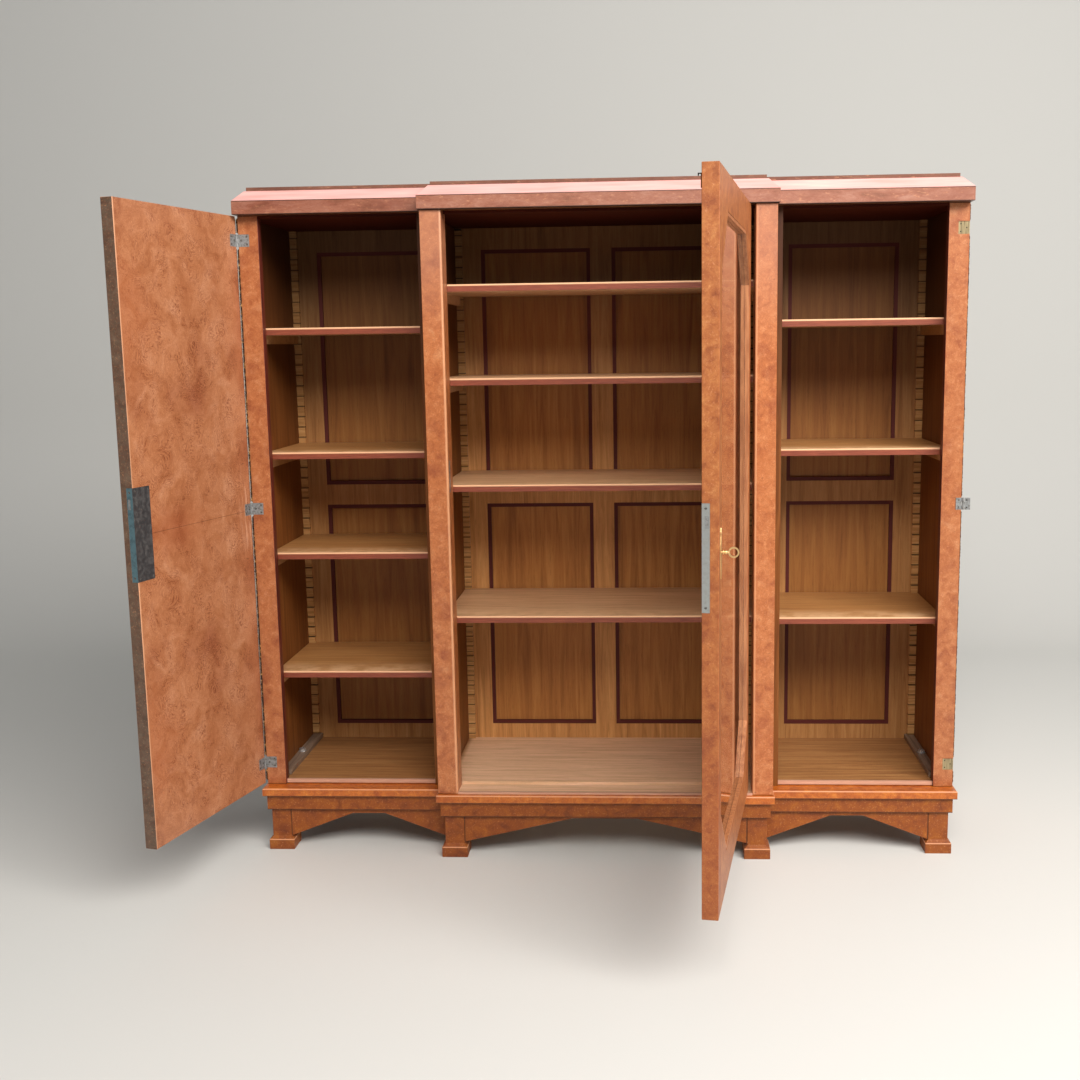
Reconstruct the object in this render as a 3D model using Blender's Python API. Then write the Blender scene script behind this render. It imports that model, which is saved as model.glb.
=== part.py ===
# China cabinet with three bays, a breakfront centre and two hinged doors.
# Drawn in cabinet coordinates: x across from the middle, y into the depth from
# the front of the outer stiles, z up from the floor. Everything is then moved
# back so that the origin lies under the middle rear foot.

import math

import bmesh
import bpy
from mathutils import Matrix

# Clearances
REST_GAP = 0.0003
SHELF_SIDE_GAP = 0.0010
RUNNING_GAP = 0.00006

# Overlap of joined solids, and how far a cut runs past its face
BITE = 0.0010
OVERRUN = 0.0020

# Small arrises
ARRIS = 0.0010
FINE_ARRIS = 0.0005
POST_ARRIS = 0.0045

# Heights, from the floor up
PAD_EDGE_Z = 0.0310
PAD_BEVEL_RISE = 0.0080
LEG_TOP_Z = 0.1260
BAND_HEIGHT = 0.0447
LEDGE_HEIGHT = 0.0243
CASE_HEIGHT = 1.6730
FASCIA_HEIGHT = 0.0372
CHAMFER_RISE = 0.0289
TOP_BOARD_RISE = 0.0106
FLOOR_RISE = 0.0135
CEILING_THICKNESS = 0.0080

PAD_TOP_Z = PAD_EDGE_Z + PAD_BEVEL_RISE
BAND_TOP_Z = LEG_TOP_Z + BAND_HEIGHT
LEDGE_TOP_Z = BAND_TOP_Z + LEDGE_HEIGHT
CASE_TOP_Z = LEDGE_TOP_Z + CASE_HEIGHT
FASCIA_BOTTOM_Z = CASE_TOP_Z + REST_GAP
FASCIA_TOP_Z = FASCIA_BOTTOM_Z + FASCIA_HEIGHT
CHAMFER_TOP_Z = FASCIA_TOP_Z + CHAMFER_RISE
TOP_Z = CHAMFER_TOP_Z + TOP_BOARD_RISE
FLOOR_TOP_Z = LEDGE_TOP_Z + FLOOR_RISE
CEILING_Z = CASE_TOP_Z - CEILING_THICKNESS

# Case uprights, across and into the depth
SIDE_OUTER_X = 1.0220
SIDE_THICKNESS = 0.0300
STILE_WIDTH = 0.0575
STILE_DEPTH = 0.0290
POST_INNER_X = 0.4303
POST_WIDTH = 0.0593
POST_FRONT_Y = -0.0800
POST_DEPTH = 0.0750
DIVIDER_THICKNESS = 0.0213
STRIP_WIDTH = 0.0220
STRIP_DEPTH = 0.0300
BACK_REAR_Y = 0.4380
BACK_THICKNESS = 0.0180
BACK_FRAME_DEPTH = 0.0095

SIDE_INNER_X = SIDE_OUTER_X - SIDE_THICKNESS
STILE_INNER_X = SIDE_OUTER_X - STILE_WIDTH
POST_OUTER_X = POST_INNER_X + POST_WIDTH
POST_BACK_Y = POST_FRONT_Y + POST_DEPTH
DIVIDER_OUTER_X = POST_OUTER_X - REST_GAP
DIVIDER_INNER_X = DIVIDER_OUTER_X - DIVIDER_THICKNESS
STRIP_OUTER_X = DIVIDER_OUTER_X + STRIP_WIDTH
BACK_FRONT_Y = BACK_REAR_Y - BACK_THICKNESS

# Base outline, ledge nose to leg
LEDGE_END_OVERHANG = 0.0055
LEDGE_STEP_OVERHANG = 0.0043
LEDGE_SIDE_Y = -0.0412
LEDGE_PROJECTION = 0.0127
LEDGE_DEPTH = 0.0750
LEDGE_ARRIS = 0.0030
BAND_SET = 0.0105
BAND_DEPTH = 0.0250
LEG_SIZE = 0.0570
LEG_FROM_BAND = 0.0100
LEG_INSET = 0.0095
CENTRE_LEG_INSET = 0.0099
REAR_LEG_INSET = 0.0060
PAD_OVERHANG = 0.0095
PAD_ARRIS = 0.0012
APRON_SET = 0.0010
APRON_DEPTH = 0.0180
APRON_FOOT_RISE = 0.0010
APRON_CROWN = 0.0140
SIDE_APRON_FLAT = 0.0480
CENTRE_APRON_FOOT_RISE = 0.0060
CENTRE_APRON_CROWN = 0.0075
CENTRE_APRON_FLAT = 0.0950
END_APRON_CROWN = 0.0340
END_APRON_FLAT = 0.0300

LEDGE_X = SIDE_OUTER_X + LEDGE_END_OVERHANG
LEDGE_STEP_X = POST_OUTER_X + LEDGE_STEP_OVERHANG
LEDGE_CENTRE_Y = POST_FRONT_Y - LEDGE_PROJECTION
LEG_SET = BAND_SET + LEG_FROM_BAND
CENTRE_LEG_X = LEDGE_STEP_X - BAND_SET - CENTRE_LEG_INSET
REAR_LEG_BACK_Y = BACK_REAR_Y - REAR_LEG_INSET
REAR_FOOT_Y = REAR_LEG_BACK_Y - LEG_SIZE / 2
APRON_FOOT_Z = PAD_TOP_Z + APRON_FOOT_RISE
APRON_PEAK_Z = LEG_TOP_Z - APRON_CROWN
CENTRE_APRON_FOOT_Z = PAD_TOP_Z + CENTRE_APRON_FOOT_RISE
CENTRE_APRON_PEAK_Z = LEG_TOP_Z - CENTRE_APRON_CROWN
END_APRON_PEAK_Z = LEG_TOP_Z - END_APRON_CROWN

# Cornice outline
CORNICE_END_OVERHANG = 0.0030
CORNICE_STEP_OVERHANG = 0.0054
CORNICE_SIDE_Y = -0.0390
CORNICE_PROJECTION = 0.0107
FASCIA_DEPTH = 0.0300
CHAMFER_RUN = 0.0293
CHAMFER_FLAT = 0.0327
TOP_BOARD_SET = 0.0049
SOFFIT_THICKNESS = 0.0150
REAR_RAIL_DEPTH = 0.0180

CORNICE_X = SIDE_OUTER_X + CORNICE_END_OVERHANG
CORNICE_STEP_X = POST_OUTER_X + CORNICE_STEP_OVERHANG
CORNICE_CENTRE_Y = POST_FRONT_Y - CORNICE_PROJECTION
CHAMFER_DEPTH = CHAMFER_RUN + CHAMFER_FLAT
TOP_SET = CHAMFER_RUN + TOP_BOARD_SET

# Left door
LEFT_DOOR_THICKNESS = 0.0345
LEFT_DOOR_FREE_GAP = 0.0014
LEFT_DOOR_FOOT_GAP = 0.0055
LEFT_DOOR_HEAD_GAP = 0.0008
LEFT_DOOR_OPEN_DEG = 104.4

LEFT_DOOR_FREE_X = -POST_OUTER_X - LEFT_DOOR_FREE_GAP
LEFT_DOOR_BOTTOM_Z = LEDGE_TOP_Z + LEFT_DOOR_FOOT_GAP
LEFT_DOOR_TOP_Z = CASE_TOP_Z - LEFT_DOOR_HEAD_GAP

# Boards
FLOOR_LIP_SIDE_Y = 0.0055
FLOOR_LIP_CENTRE_Y = -0.0082
FLOOR_LIP_DEPTH = 0.0047
FLOOR_LIP_HEIGHT = 0.0100
THRESHOLD_REACH = 0.0020
THRESHOLD_RISE = 0.0055
HEADER_GAP = 0.0045

FLOOR_LIP_BOTTOM_Z = FLOOR_TOP_Z - FLOOR_LIP_HEIGHT
THRESHOLD_FRONT_Y = POST_FRONT_Y - THRESHOLD_REACH
THRESHOLD_TOP_Z = LEDGE_TOP_Z + THRESHOLD_RISE

# Back frames, panels and beads
SIDE_FRAME_STILE = 0.0820
CENTRE_FRAME_STILE = 0.0795
MULLION_CENTRE_X = -0.0120
MULLION_WIDTH = 0.0670
BACK_TOP_RAIL = 0.0660
BACK_BOTTOM_RAIL = 0.0485
MID_RAIL_WIDTH = 0.0655
MID_RAIL_SHARE = 0.49455
BEAD_WIDTH = 0.0115
BEAD_FRONT_SET = 0.0010

SIDE_OPENING_OUTER_X = SIDE_INNER_X - SIDE_FRAME_STILE
SIDE_OPENING_INNER_X = DIVIDER_OUTER_X + SIDE_FRAME_STILE
CENTRE_OPENING_X = DIVIDER_INNER_X - CENTRE_FRAME_STILE
OPENING_TOP_Z = CEILING_Z - BACK_TOP_RAIL
OPENING_BOTTOM_Z = FLOOR_TOP_Z + BACK_BOTTOM_RAIL
MID_RAIL_Z = FLOOR_TOP_Z + MID_RAIL_SHARE * (CEILING_Z - FLOOR_TOP_Z)

# Racks, cleats and shelves; a shelf's level is a share of the height inside
RACK_WIDTH = 0.0215
RACK_DEPTH = 0.0120
SEAT_DEPTH = 0.0050
TOOTH_PITCH = 0.0329
FIRST_SEAT_RISE = 0.1827
CENTRE_SEAT_SHIFT = 0.0138
CLEAT_WIDTH = 0.0120
CLEAT_END_GAP = 0.0005
SHELF_THICKNESS = 0.0200
SIDE_SHELF_FRONT_Y = 0.0400
CENTRE_SHELF_FRONT_Y = -0.0100
RACK_NOTCH_GAP = 0.0010
LEFT_SHELF_SHARES = (0.1859, 0.4048, 0.5852, 0.8032)
CENTRE_SHELF_SHARES = (0.2937, 0.5277, 0.7124, 0.8719)
RIGHT_SHELF_SHARES = (0.2834, 0.5828, 0.8050)

FIRST_SEAT_Z = FLOOR_TOP_Z + FIRST_SEAT_RISE

# Battens and knock-down bolts
BATTEN_WIDTH = 0.0300
BATTEN_HEIGHT = 0.0150
BATTEN_FRONT_SET = 0.0160
BOLT_SIDE_SET = 0.0140
BOLT_FROM_BATTEN_FRONT = 0.1830
BOLT_HEAD_R = 0.0100
BOLT_HEAD_HEIGHT = 0.0070
BOLT_WASHER_R = 0.0125
BOLT_WASHER_HEIGHT = 0.0015
BOLT_SHANK_R = 0.0040
BOLT_HOLE_R = 0.0045
BOLT_END_GAP = 0.0023

BATTEN_FRONT_Y = STILE_DEPTH + BATTEN_FRONT_SET
BOLT_X = SIDE_INNER_X - BOLT_SIDE_SET
BOLT_Y = BATTEN_FRONT_Y + BOLT_FROM_BATTEN_FRONT
BOLT_END_Z = BAND_TOP_Z + BOLT_END_GAP

# Butt hinges
HINGE_AXIS_OUT = 0.0042
HINGE_AXIS_Y = -0.0010
BOTTOM_HINGE_RISE = 0.0635
TOP_HINGE_DROP = 0.0672
MIDDLE_HINGE_SHARE = 0.5016
LEAF_HEIGHT = 0.0340
LEAF_THICKNESS = 0.0015
LEAF_WIDTH = 0.0305
SMALL_LEAF_WIDTH = 0.0153
LEAF_EDGE_SET = 0.0002
MORTISE_DEPTH = 0.0018
KNUCKLE_R = 0.0030
HINGE_PIN_R = 0.0015
KNUCKLE_GAP = 0.0003
LOOSE_LEAF_OPEN_DEG = 172.0

HINGE_AXIS_X = SIDE_OUTER_X + HINGE_AXIS_OUT
BOTTOM_HINGE_Z = LEFT_DOOR_BOTTOM_Z + BOTTOM_HINGE_RISE
TOP_HINGE_Z = LEFT_DOOR_TOP_Z - TOP_HINGE_DROP
MIDDLE_HINGE_Z = BOTTOM_HINGE_Z + MIDDLE_HINGE_SHARE * (TOP_HINGE_Z - BOTTOM_HINGE_Z)
HINGE_CENTRES = (BOTTOM_HINGE_Z, MIDDLE_HINGE_Z, TOP_HINGE_Z)
LEAF_ROOT_X = SIDE_OUTER_X - LEAF_EDGE_SET
LEAF_REACH_X = LEAF_ROOT_X - LEAF_WIDTH
SMALL_LEAF_REACH_X = LEAF_ROOT_X - SMALL_LEAF_WIDTH
MORTISE_X = LEAF_REACH_X - REST_GAP

# Centre door
CENTRE_DOOR_THICKNESS = 0.0380
CENTRE_DOOR_SIDE_GAP = 0.0025
CENTRE_DOOR_FOOT_GAP = 0.0025
CENTRE_DOOR_HEAD_GAP = 0.0015
CENTRE_DOOR_OPEN_DEG = 81.3
FREE_STILE_WIDTH = 0.0550
HINGE_STILE_WIDTH = 0.0380
TOP_RAIL_WIDTH = 0.0840
BOTTOM_RAIL_WIDTH = 0.0920
CANT = 0.1300
GLASS_THICKNESS = 0.0040
GLASS_EDGE_GAP = 0.0005
DOOR_BEAD_WIDTH = 0.0080
DOOR_BEAD_DEPTH = 0.0110
DOOR_BEAD_SET = 0.0010

CENTRE_DOOR_HALF = POST_INNER_X - CENTRE_DOOR_SIDE_GAP
CENTRE_DOOR_BOTTOM_Z = THRESHOLD_TOP_Z + CENTRE_DOOR_FOOT_GAP
CENTRE_DOOR_TOP_Z = CASE_TOP_Z - CENTRE_DOOR_HEAD_GAP
HEADER_CENTRE_Y = POST_FRONT_Y + CENTRE_DOOR_THICKNESS + HEADER_GAP

# Pivot hinges
PIVOT_SIDE_SET = 0.0150
PIVOT_FACE_SET = 0.0040
PIVOT_PIN_R = 0.0025
PIVOT_PIN_ROOT = 0.0200
PIVOT_PIN_RISE = 0.0075
PIVOT_PIN_DROP = 0.0065
PIVOT_END_GAP = 0.0012

PIVOT_X = CENTRE_DOOR_HALF - PIVOT_SIDE_SET
PIVOT_Y = POST_FRONT_Y + PIVOT_FACE_SET
PIVOT_HOLE_TOP_Z = CENTRE_DOOR_TOP_Z + PIVOT_PIN_RISE + PIVOT_END_GAP

# Locks
KEY_HEIGHT = 0.8490
KEY_BACKSET = 0.0300
LOCK_ABOVE_KEY = 0.1105
LOCK_BELOW_KEY = 0.1305
LOCK_PLATE_THICKNESS = 0.0025
LOCK_CASE_DEPTH = 0.0165
LOCK_PLATE_EXTRA = 0.0010
LEFT_LOCK_REACH = 0.0690
CENTRE_LOCK_REACH = 0.0480
BOLT_ABOVE_KEY = 0.0687
BOLT_HALF_HEIGHT = 0.0130
BOLT_HALF_THICKNESS = 0.0035
BOLT_FROM_CASE_FRONT = 0.0056
BOLT_LENGTH = 0.0260
BOLT_ROOM = 0.0300
BOLT_GAP = 0.0003
CHAMBER_R = 0.0110
CHAMBER_DEPTH = 0.0100
KEYHOLE_R = 0.0032
KEYHOLE_SLOT_HALF = 0.0018
KEYHOLE_DROP = 0.0110

KEY_Z = LEDGE_TOP_Z + KEY_HEIGHT
LOCK_BOTTOM_Z = KEY_Z - LOCK_BELOW_KEY
LOCK_TOP_Z = KEY_Z + LOCK_ABOVE_KEY
BOLT_CENTRE_Z = KEY_Z + BOLT_ABOVE_KEY
BOLT_FROM_BACK = REST_GAP + LOCK_CASE_DEPTH - BOLT_FROM_CASE_FRONT

# Keeper plates and their pockets
KEEPER_THICKNESS = 0.0015
KEEPER_HALF_WIDTH = 0.0080
KEEPER_ABOVE_BOLT = 0.0493
KEEPER_BELOW_BOLT = 0.0147
KEEPER_HOLE_DEPTH = 0.0130

KEEPER_BOTTOM_Z = BOLT_CENTRE_Z - BOLT_HALF_HEIGHT - KEEPER_BELOW_BOLT
KEEPER_TOP_Z = BOLT_CENTRE_Z + BOLT_HALF_HEIGHT + KEEPER_ABOVE_BOLT

# Escutcheon, key and catch hook
ESCUTCHEON_THICKNESS = 0.0020
ESCUTCHEON_STEP = 0.0095
ESCUTCHEON_DROP = 0.0600
ESCUTCHEON_HALF_WIDTHS = (
    0.0012, 0.0042, 0.0060, 0.0085, 0.0100, 0.0108, 0.0110,
    0.0106, 0.0092, 0.0066, 0.0040, 0.0054, 0.0018)
KEY_SHANK_R = 0.0025
KEY_BOW_OUT = 0.0290
KEY_BOW_R = 0.0122
KEY_BOW_HOLE_R = 0.0086
KEY_BOW_HALF_THICKNESS = 0.0014
KEY_BIT_HALF = 0.0012
KEY_BIT_DROP = 0.0092
KEY_BIT_FRONT_SET = 0.0010
KEY_BIT_LENGTH = 0.0070
KEY_TAIL = 0.0085
HOOK_EDGE_SET = 0.0068
HOOK_HALF_WIDTH = 0.0030
HOOK_DROP = 0.0215
HOOK_HEIGHT = 0.0300
HOOK_PLATE = 0.0018
HOOK_REACH = 0.0080
HOOK_LIP = 0.0040

ESCUTCHEON_BOTTOM_Z = KEY_Z - ESCUTCHEON_DROP
HOOK_X = -CENTRE_DOOR_HALF + HOOK_EDGE_SET
HOOK_TOP_Z = CENTRE_DOOR_TOP_Z - HOOK_DROP
HOOK_BOTTOM_Z = HOOK_TOP_Z - HOOK_HEIGHT

ROUND_SIDES = 24
BOW_SIDES = 36
ARRIS_SEGMENTS = 3
FULL_TURN = 2.0 * math.pi
SHARP_ANGLE = math.radians(20)
CREASE_ANGLE = math.radians(35)
CANT_INSET_SHARE = 2 - math.sqrt(2)

BURR = (0.62, 0.27, 0.11, 1.0)
DARK_RED = (0.06, 0.008, 0.006, 1.0)
OAK = (0.50, 0.31, 0.14, 1.0)
PALE_WOOD = (0.70, 0.52, 0.36, 1.0)
GREY_WOOD = (0.18, 0.14, 0.10, 1.0)
STEEL = (0.25, 0.27, 0.32, 1.0)
BRASS = (0.70, 0.50, 0.20, 1.0)
CLEAR = (0.80, 0.85, 0.88, 1.0)


def clear_file():
    for old in list(bpy.data.objects):
        bpy.data.objects.remove(old, do_unlink=True)


# Solids are pairs of vertex list and face list.

def cuboid(x0, x1, y0, y1, z0, z1):
    return prism([(x0, y0), (x1, y0), (x1, y1), (x0, y1)], "z", z0, z1)


def spread(point, axis, level):
    """Put a flat point of a section at its level along the axis."""
    first, second = point
    if axis == "x":
        return (level, first, second)
    if axis == "y":
        return (first, level, second)
    return (first, second, level)


def prism(points, axis, low, high):
    """Extrude a flat outline along one axis."""
    count = len(points)
    verts = [spread(p, axis, low) for p in points]
    verts += [spread(p, axis, high) for p in points]
    faces = [tuple(range(count)), tuple(range(count, 2 * count))]
    for i in range(count):
        j = (i + 1) % count
        faces.append((i, j, count + j, count + i))
    return verts, faces


def circle(cx, cy, radius, sides):
    return [(cx + radius * math.cos(FULL_TURN * i / sides),
             cy + radius * math.sin(FULL_TURN * i / sides)) for i in range(sides)]


def rod(axis, cx, cy, radius, low, high, sides=ROUND_SIDES):
    return prism(circle(cx, cy, radius, sides), axis, low, high)


def collar(outer, inner, axis, low, high):
    """Extrude the strip between two outlines with the same number of points."""
    count = len(outer)
    verts = [spread(p, axis, low) for p in outer + inner]
    verts += [spread(p, axis, high) for p in outer + inner]
    faces = []
    for i in range(count):
        j = (i + 1) % count
        a, b, c, d = i, j, count + j, count + i
        top = 2 * count
        faces.append((a, b, c, d))
        faces.append((a + top, b + top, c + top, d + top))
        faces.append((a, b, b + top, a + top))
        faces.append((d, c, c + top, d + top))
    return verts, faces


def rectangle(a0, a1, b0, b1):
    return [(a0, b0), (a1, b0), (a1, b1), (a0, b1)]


def moulding(profile, path):
    """Sweep a profile of (offset outward, z) along a plan path, mitred at its corners.

    Outward lies to the right of the direction of travel.
    """
    normals = []
    for start, end in zip(path, path[1:]):
        length = math.hypot(end[0] - start[0], end[1] - start[1])
        normals.append(((end[1] - start[1]) / length, (start[0] - end[0]) / length))
    verts = []
    for i, corner in enumerate(path):
        first = normals[max(i - 1, 0)]
        second = normals[min(i, len(normals) - 1)]
        share = 1 + first[0] * second[0] + first[1] * second[1]
        out = ((first[0] + second[0]) / share, (first[1] + second[1]) / share)
        verts += [(corner[0] + out[0] * offset, corner[1] + out[1] * offset, z)
                  for offset, z in profile]
    count = len(profile)
    last = len(verts) - count
    faces = [tuple(range(count)), tuple(range(last, last + count))]
    for base in range(0, last, count):
        for i in range(count):
            j = (i + 1) % count
            faces.append((base + i, base + j, base + count + j, base + count + i))
    return verts, faces


def breakfront(half, step_x, side_y, centre_y, rear_y):
    """Plan path round the case from the left rear corner to the right rear one."""
    return [(-half, rear_y), (-half, side_y), (-step_x, side_y), (-step_x, centre_y),
            (step_x, centre_y), (step_x, side_y), (half, side_y), (half, rear_y)]


# Objects

def mesh_of(solid, arris):
    verts, faces = solid
    work = bmesh.new()
    made = [work.verts.new(v) for v in verts]
    for face in faces:
        work.faces.new([made[i] for i in face])
    bmesh.ops.recalc_face_normals(work, faces=work.faces)
    if arris:
        sharp = [e for e in work.edges if e.calc_face_angle() > SHARP_ANGLE]
        bmesh.ops.bevel(work, geom=sharp, offset=arris, segments=1, profile=0.5,
                        affect="EDGES", clamp_overlap=True)
    mesh = bpy.data.meshes.new("work")
    work.to_mesh(mesh)
    work.free()
    return mesh


def combine(body, solid, operation):
    """Join a solid to the body, or cut it out."""
    tool_mesh = mesh_of(solid, 0)
    tool = bpy.data.objects.new("tool", tool_mesh)
    bpy.context.scene.collection.objects.link(tool)
    step = body.modifiers.new("step", "BOOLEAN")
    step.operation = operation
    step.solver = "EXACT"
    step.object = tool
    bpy.context.view_layer.update()
    graph = bpy.context.evaluated_depsgraph_get()
    result = bpy.data.meshes.new_from_object(body.evaluated_get(graph))
    body.modifiers.clear()
    old = body.data
    body.data = result
    bpy.data.meshes.remove(old)
    bpy.data.objects.remove(tool, do_unlink=True)
    bpy.data.meshes.remove(tool_mesh)


def material(name, colour, roughness, metallic):
    made = bpy.data.materials.new(name)
    made.use_nodes = True
    shader = made.node_tree.nodes["Principled BSDF"]
    shader.inputs["Base Color"].default_value = colour
    shader.inputs["Roughness"].default_value = roughness
    shader.inputs["Metallic"].default_value = metallic
    return made


def piece(name, solid, colour, arris=0, cuts=(), joins=(), late_joins=(), carrier=None,
          roughness=0.45, metallic=0):
    """Make one named sub-part: a solid, what is joined to it, then what is cut away."""
    body = bpy.data.objects.new(name, mesh_of(solid, arris))
    bpy.context.scene.collection.objects.link(body)
    for extra in joins:
        combine(body, extra, "UNION")
    for extra in cuts:
        combine(body, extra, "DIFFERENCE")
    for extra in late_joins:
        combine(body, extra, "UNION")
    body.data.name = name
    body.data.shade_smooth()
    body.data.set_sharp_from_angle(angle=CREASE_ANGLE)
    body.data.materials.clear()
    body.data.materials.append(material(name, colour, roughness, metallic))
    if carrier is None:
        body.location = (0, -REAR_FOOT_Y, 0)
        return
    empty, pivot = carrier
    body.data.transform(Matrix.Translation([-value for value in pivot]))
    body.parent = empty


def carrier_at(name, pivot, degrees, parent=None):
    """Empty on a joint axis, turned to the rest pose; returns it with its pivot."""
    empty = bpy.data.objects.new(name, None)
    bpy.context.scene.collection.objects.link(empty)
    if parent is None:
        empty.location = (pivot[0], pivot[1] - REAR_FOOT_Y, pivot[2])
    else:
        holder, base = parent
        empty.parent = holder
        empty.location = (pivot[0] - base[0], pivot[1] - base[1], pivot[2] - base[2])
    empty.rotation_euler = (0, 0, math.radians(degrees))
    return empty, pivot


# Base

def leg_places():
    """Plan centre of the front and rear leg at the outer end and beside the centre bay."""
    half = LEG_SIZE / 2
    outer = LEDGE_X - BAND_SET - LEG_INSET - half
    inner = CENTRE_LEG_X - half
    rear = REAR_LEG_BACK_Y - half
    return {"outer": (outer, LEDGE_SIDE_Y + LEG_SET + half),
            "inner": (inner, LEDGE_CENTRE_Y + LEG_SET + half),
            "rear": (outer, rear), "rear_inner": (inner, rear)}


def leg(x, y, top):
    """Square leg with its wider pad, made in one."""
    half = LEG_SIZE / 2
    pad = half + PAD_OVERHANG
    levels = [(pad, 0), (pad, PAD_EDGE_Z), (half, PAD_TOP_Z), (half, top)]
    verts = []
    for reach, z in levels:
        verts += [(x - reach, y - reach, z), (x + reach, y - reach, z),
                  (x + reach, y + reach, z), (x - reach, y + reach, z)]
    faces = [(0, 1, 2, 3), tuple(range(len(verts) - 4, len(verts)))]
    for base in range(0, len(verts) - 4, 4):
        for i in range(4):
            j = (i + 1) % 4
            faces.append((base + i, base + j, base + 4 + j, base + 4 + i))
    return verts, faces


def make_front_legs():
    places = leg_places()
    for name, side, place in (("leg_left", -1, "outer"), ("leg_centre_left", -1, "inner"),
                              ("leg_centre_right", 1, "inner"), ("leg_right", 1, "outer")):
        x, y = places[place]
        piece(name, leg(side * x, y, LEG_TOP_Z), BURR, PAD_ARRIS)


def arch(low, high, foot_z, peak_z, flat_half, top_z):
    """Apron outline: straight slopes up to a short flat in the middle."""
    middle = (low + high) / 2
    return [(low, foot_z), (middle - flat_half, peak_z), (middle + flat_half, peak_z),
            (high, foot_z), (high, top_z), (low, top_z)]


def make_aprons():
    places = leg_places()
    half = LEG_SIZE / 2
    outer = places["outer"][0] - half - REST_GAP
    inner = places["inner"][0] + half + REST_GAP
    front = places["outer"][1] - half + APRON_SET
    for name, side in (("apron_left", -1), ("apron_right", 1)):
        ends = sorted((side * outer, side * inner))
        outline = arch(ends[0], ends[1], APRON_FOOT_Z, APRON_PEAK_Z, SIDE_APRON_FLAT,
                       LEG_TOP_Z)
        piece(name, prism(outline, "y", front, front + APRON_DEPTH), BURR, FINE_ARRIS)
    reach = places["inner"][0] - half - REST_GAP
    front = places["inner"][1] - half + APRON_SET
    outline = arch(-reach, reach, CENTRE_APRON_FOOT_Z, CENTRE_APRON_PEAK_Z,
                   CENTRE_APRON_FLAT, LEG_TOP_Z)
    piece("apron_centre", prism(outline, "y", front, front + APRON_DEPTH), BURR, FINE_ARRIS)


def make_band():
    """Band round the base, in one with its rear rail, rear legs and end aprons."""
    places = leg_places()
    half = LEG_SIZE / 2
    bottom = LEG_TOP_Z + REST_GAP
    profile = [(0, bottom), (0, BAND_TOP_Z), (-BAND_DEPTH, BAND_TOP_Z), (-BAND_DEPTH, bottom)]
    path = breakfront(LEDGE_X - BAND_SET, LEDGE_STEP_X - BAND_SET, LEDGE_SIDE_Y + BAND_SET,
                      LEDGE_CENTRE_Y + BAND_SET, BACK_REAR_Y)
    reach = LEDGE_X - BAND_SET - BAND_DEPTH / 2
    joins = [cuboid(-reach, reach, BACK_REAR_Y - BAND_DEPTH, BACK_REAR_Y, bottom, BAND_TOP_Z)]
    tenon_top = (bottom + BAND_TOP_Z) / 2
    for side in (-1, 1):
        joins.append(leg(side * places["rear"][0], places["rear"][1], tenon_top))
        joins.append(leg(side * places["rear_inner"][0], places["rear"][1], tenon_top))
        face = places["outer"][0] + half - APRON_SET
        outline = arch(places["outer"][1] + half + REST_GAP, places["rear"][1], APRON_FOOT_Z,
                       END_APRON_PEAK_Z, END_APRON_FLAT, tenon_top)
        x0, x1 = sorted((side * face, side * (face - APRON_DEPTH)))
        joins.append(prism(outline, "x", x0, x1))
    joins.append(leg(0, places["rear"][1], tenon_top))
    piece("base_band", moulding(profile, path), BURR, joins=joins)


def bolt_hole(side, low, high):
    return rod("z", side * BOLT_X, BOLT_Y, BOLT_HOLE_R, low, high)


def make_ledge():
    """Ledge moulding on the band, in one with the board that closes it at the back."""
    bottom = BAND_TOP_Z + REST_GAP
    profile = [(0, bottom), (0, LEDGE_TOP_Z - LEDGE_ARRIS), (-LEDGE_ARRIS, LEDGE_TOP_Z),
               (-LEDGE_DEPTH, LEDGE_TOP_Z), (-LEDGE_DEPTH, bottom)]
    path = breakfront(LEDGE_X, LEDGE_STEP_X, LEDGE_SIDE_Y, LEDGE_CENTRE_Y, BACK_REAR_Y)
    reach = LEDGE_X - LEDGE_DEPTH / 2
    rear = cuboid(-reach, reach, BACK_REAR_Y - LEDGE_DEPTH, BACK_REAR_Y, bottom, LEDGE_TOP_Z)
    holes = [bolt_hole(side, BAND_TOP_Z, LEDGE_TOP_Z + OVERRUN) for side in (-1, 1)]
    piece("base_ledge", moulding(profile, path), BURR, joins=[rear], cuts=holes)


# Case

def hinge_mortise(side, z):
    """Shallow pocket for a hinge leaf in an outer stile's front face."""
    half = LEAF_HEIGHT / 2 + REST_GAP
    x0, x1 = sorted((side * MORTISE_X, side * (SIDE_OUTER_X + OVERRUN)))
    return cuboid(x0, x1, -OVERRUN, MORTISE_DEPTH, z - half, z + half)


def make_uprights():
    bottom = LEDGE_TOP_Z + REST_GAP
    for name, side in (("left", -1), ("right", 1)):
        x0, x1 = sorted((side * SIDE_INNER_X, side * SIDE_OUTER_X))
        panel = cuboid(x0, x1, STILE_DEPTH + REST_GAP, BACK_REAR_Y, bottom, CASE_TOP_Z)
        rack_foot = FLOOR_TOP_Z + REST_GAP + BATTEN_HEIGHT + REST_GAP
        piece("side_" + name, panel, BURR, ARRIS,
              joins=racks(side * SIDE_INNER_X, -side, STILE_DEPTH + REST_GAP, 0, rack_foot))
        make_divider(name, side)
    piece("post_right", post_outline(1), BURR, ARRIS)
    piece("post_left", post_outline(-1), BURR, ARRIS, cuts=post_pockets())


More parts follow.
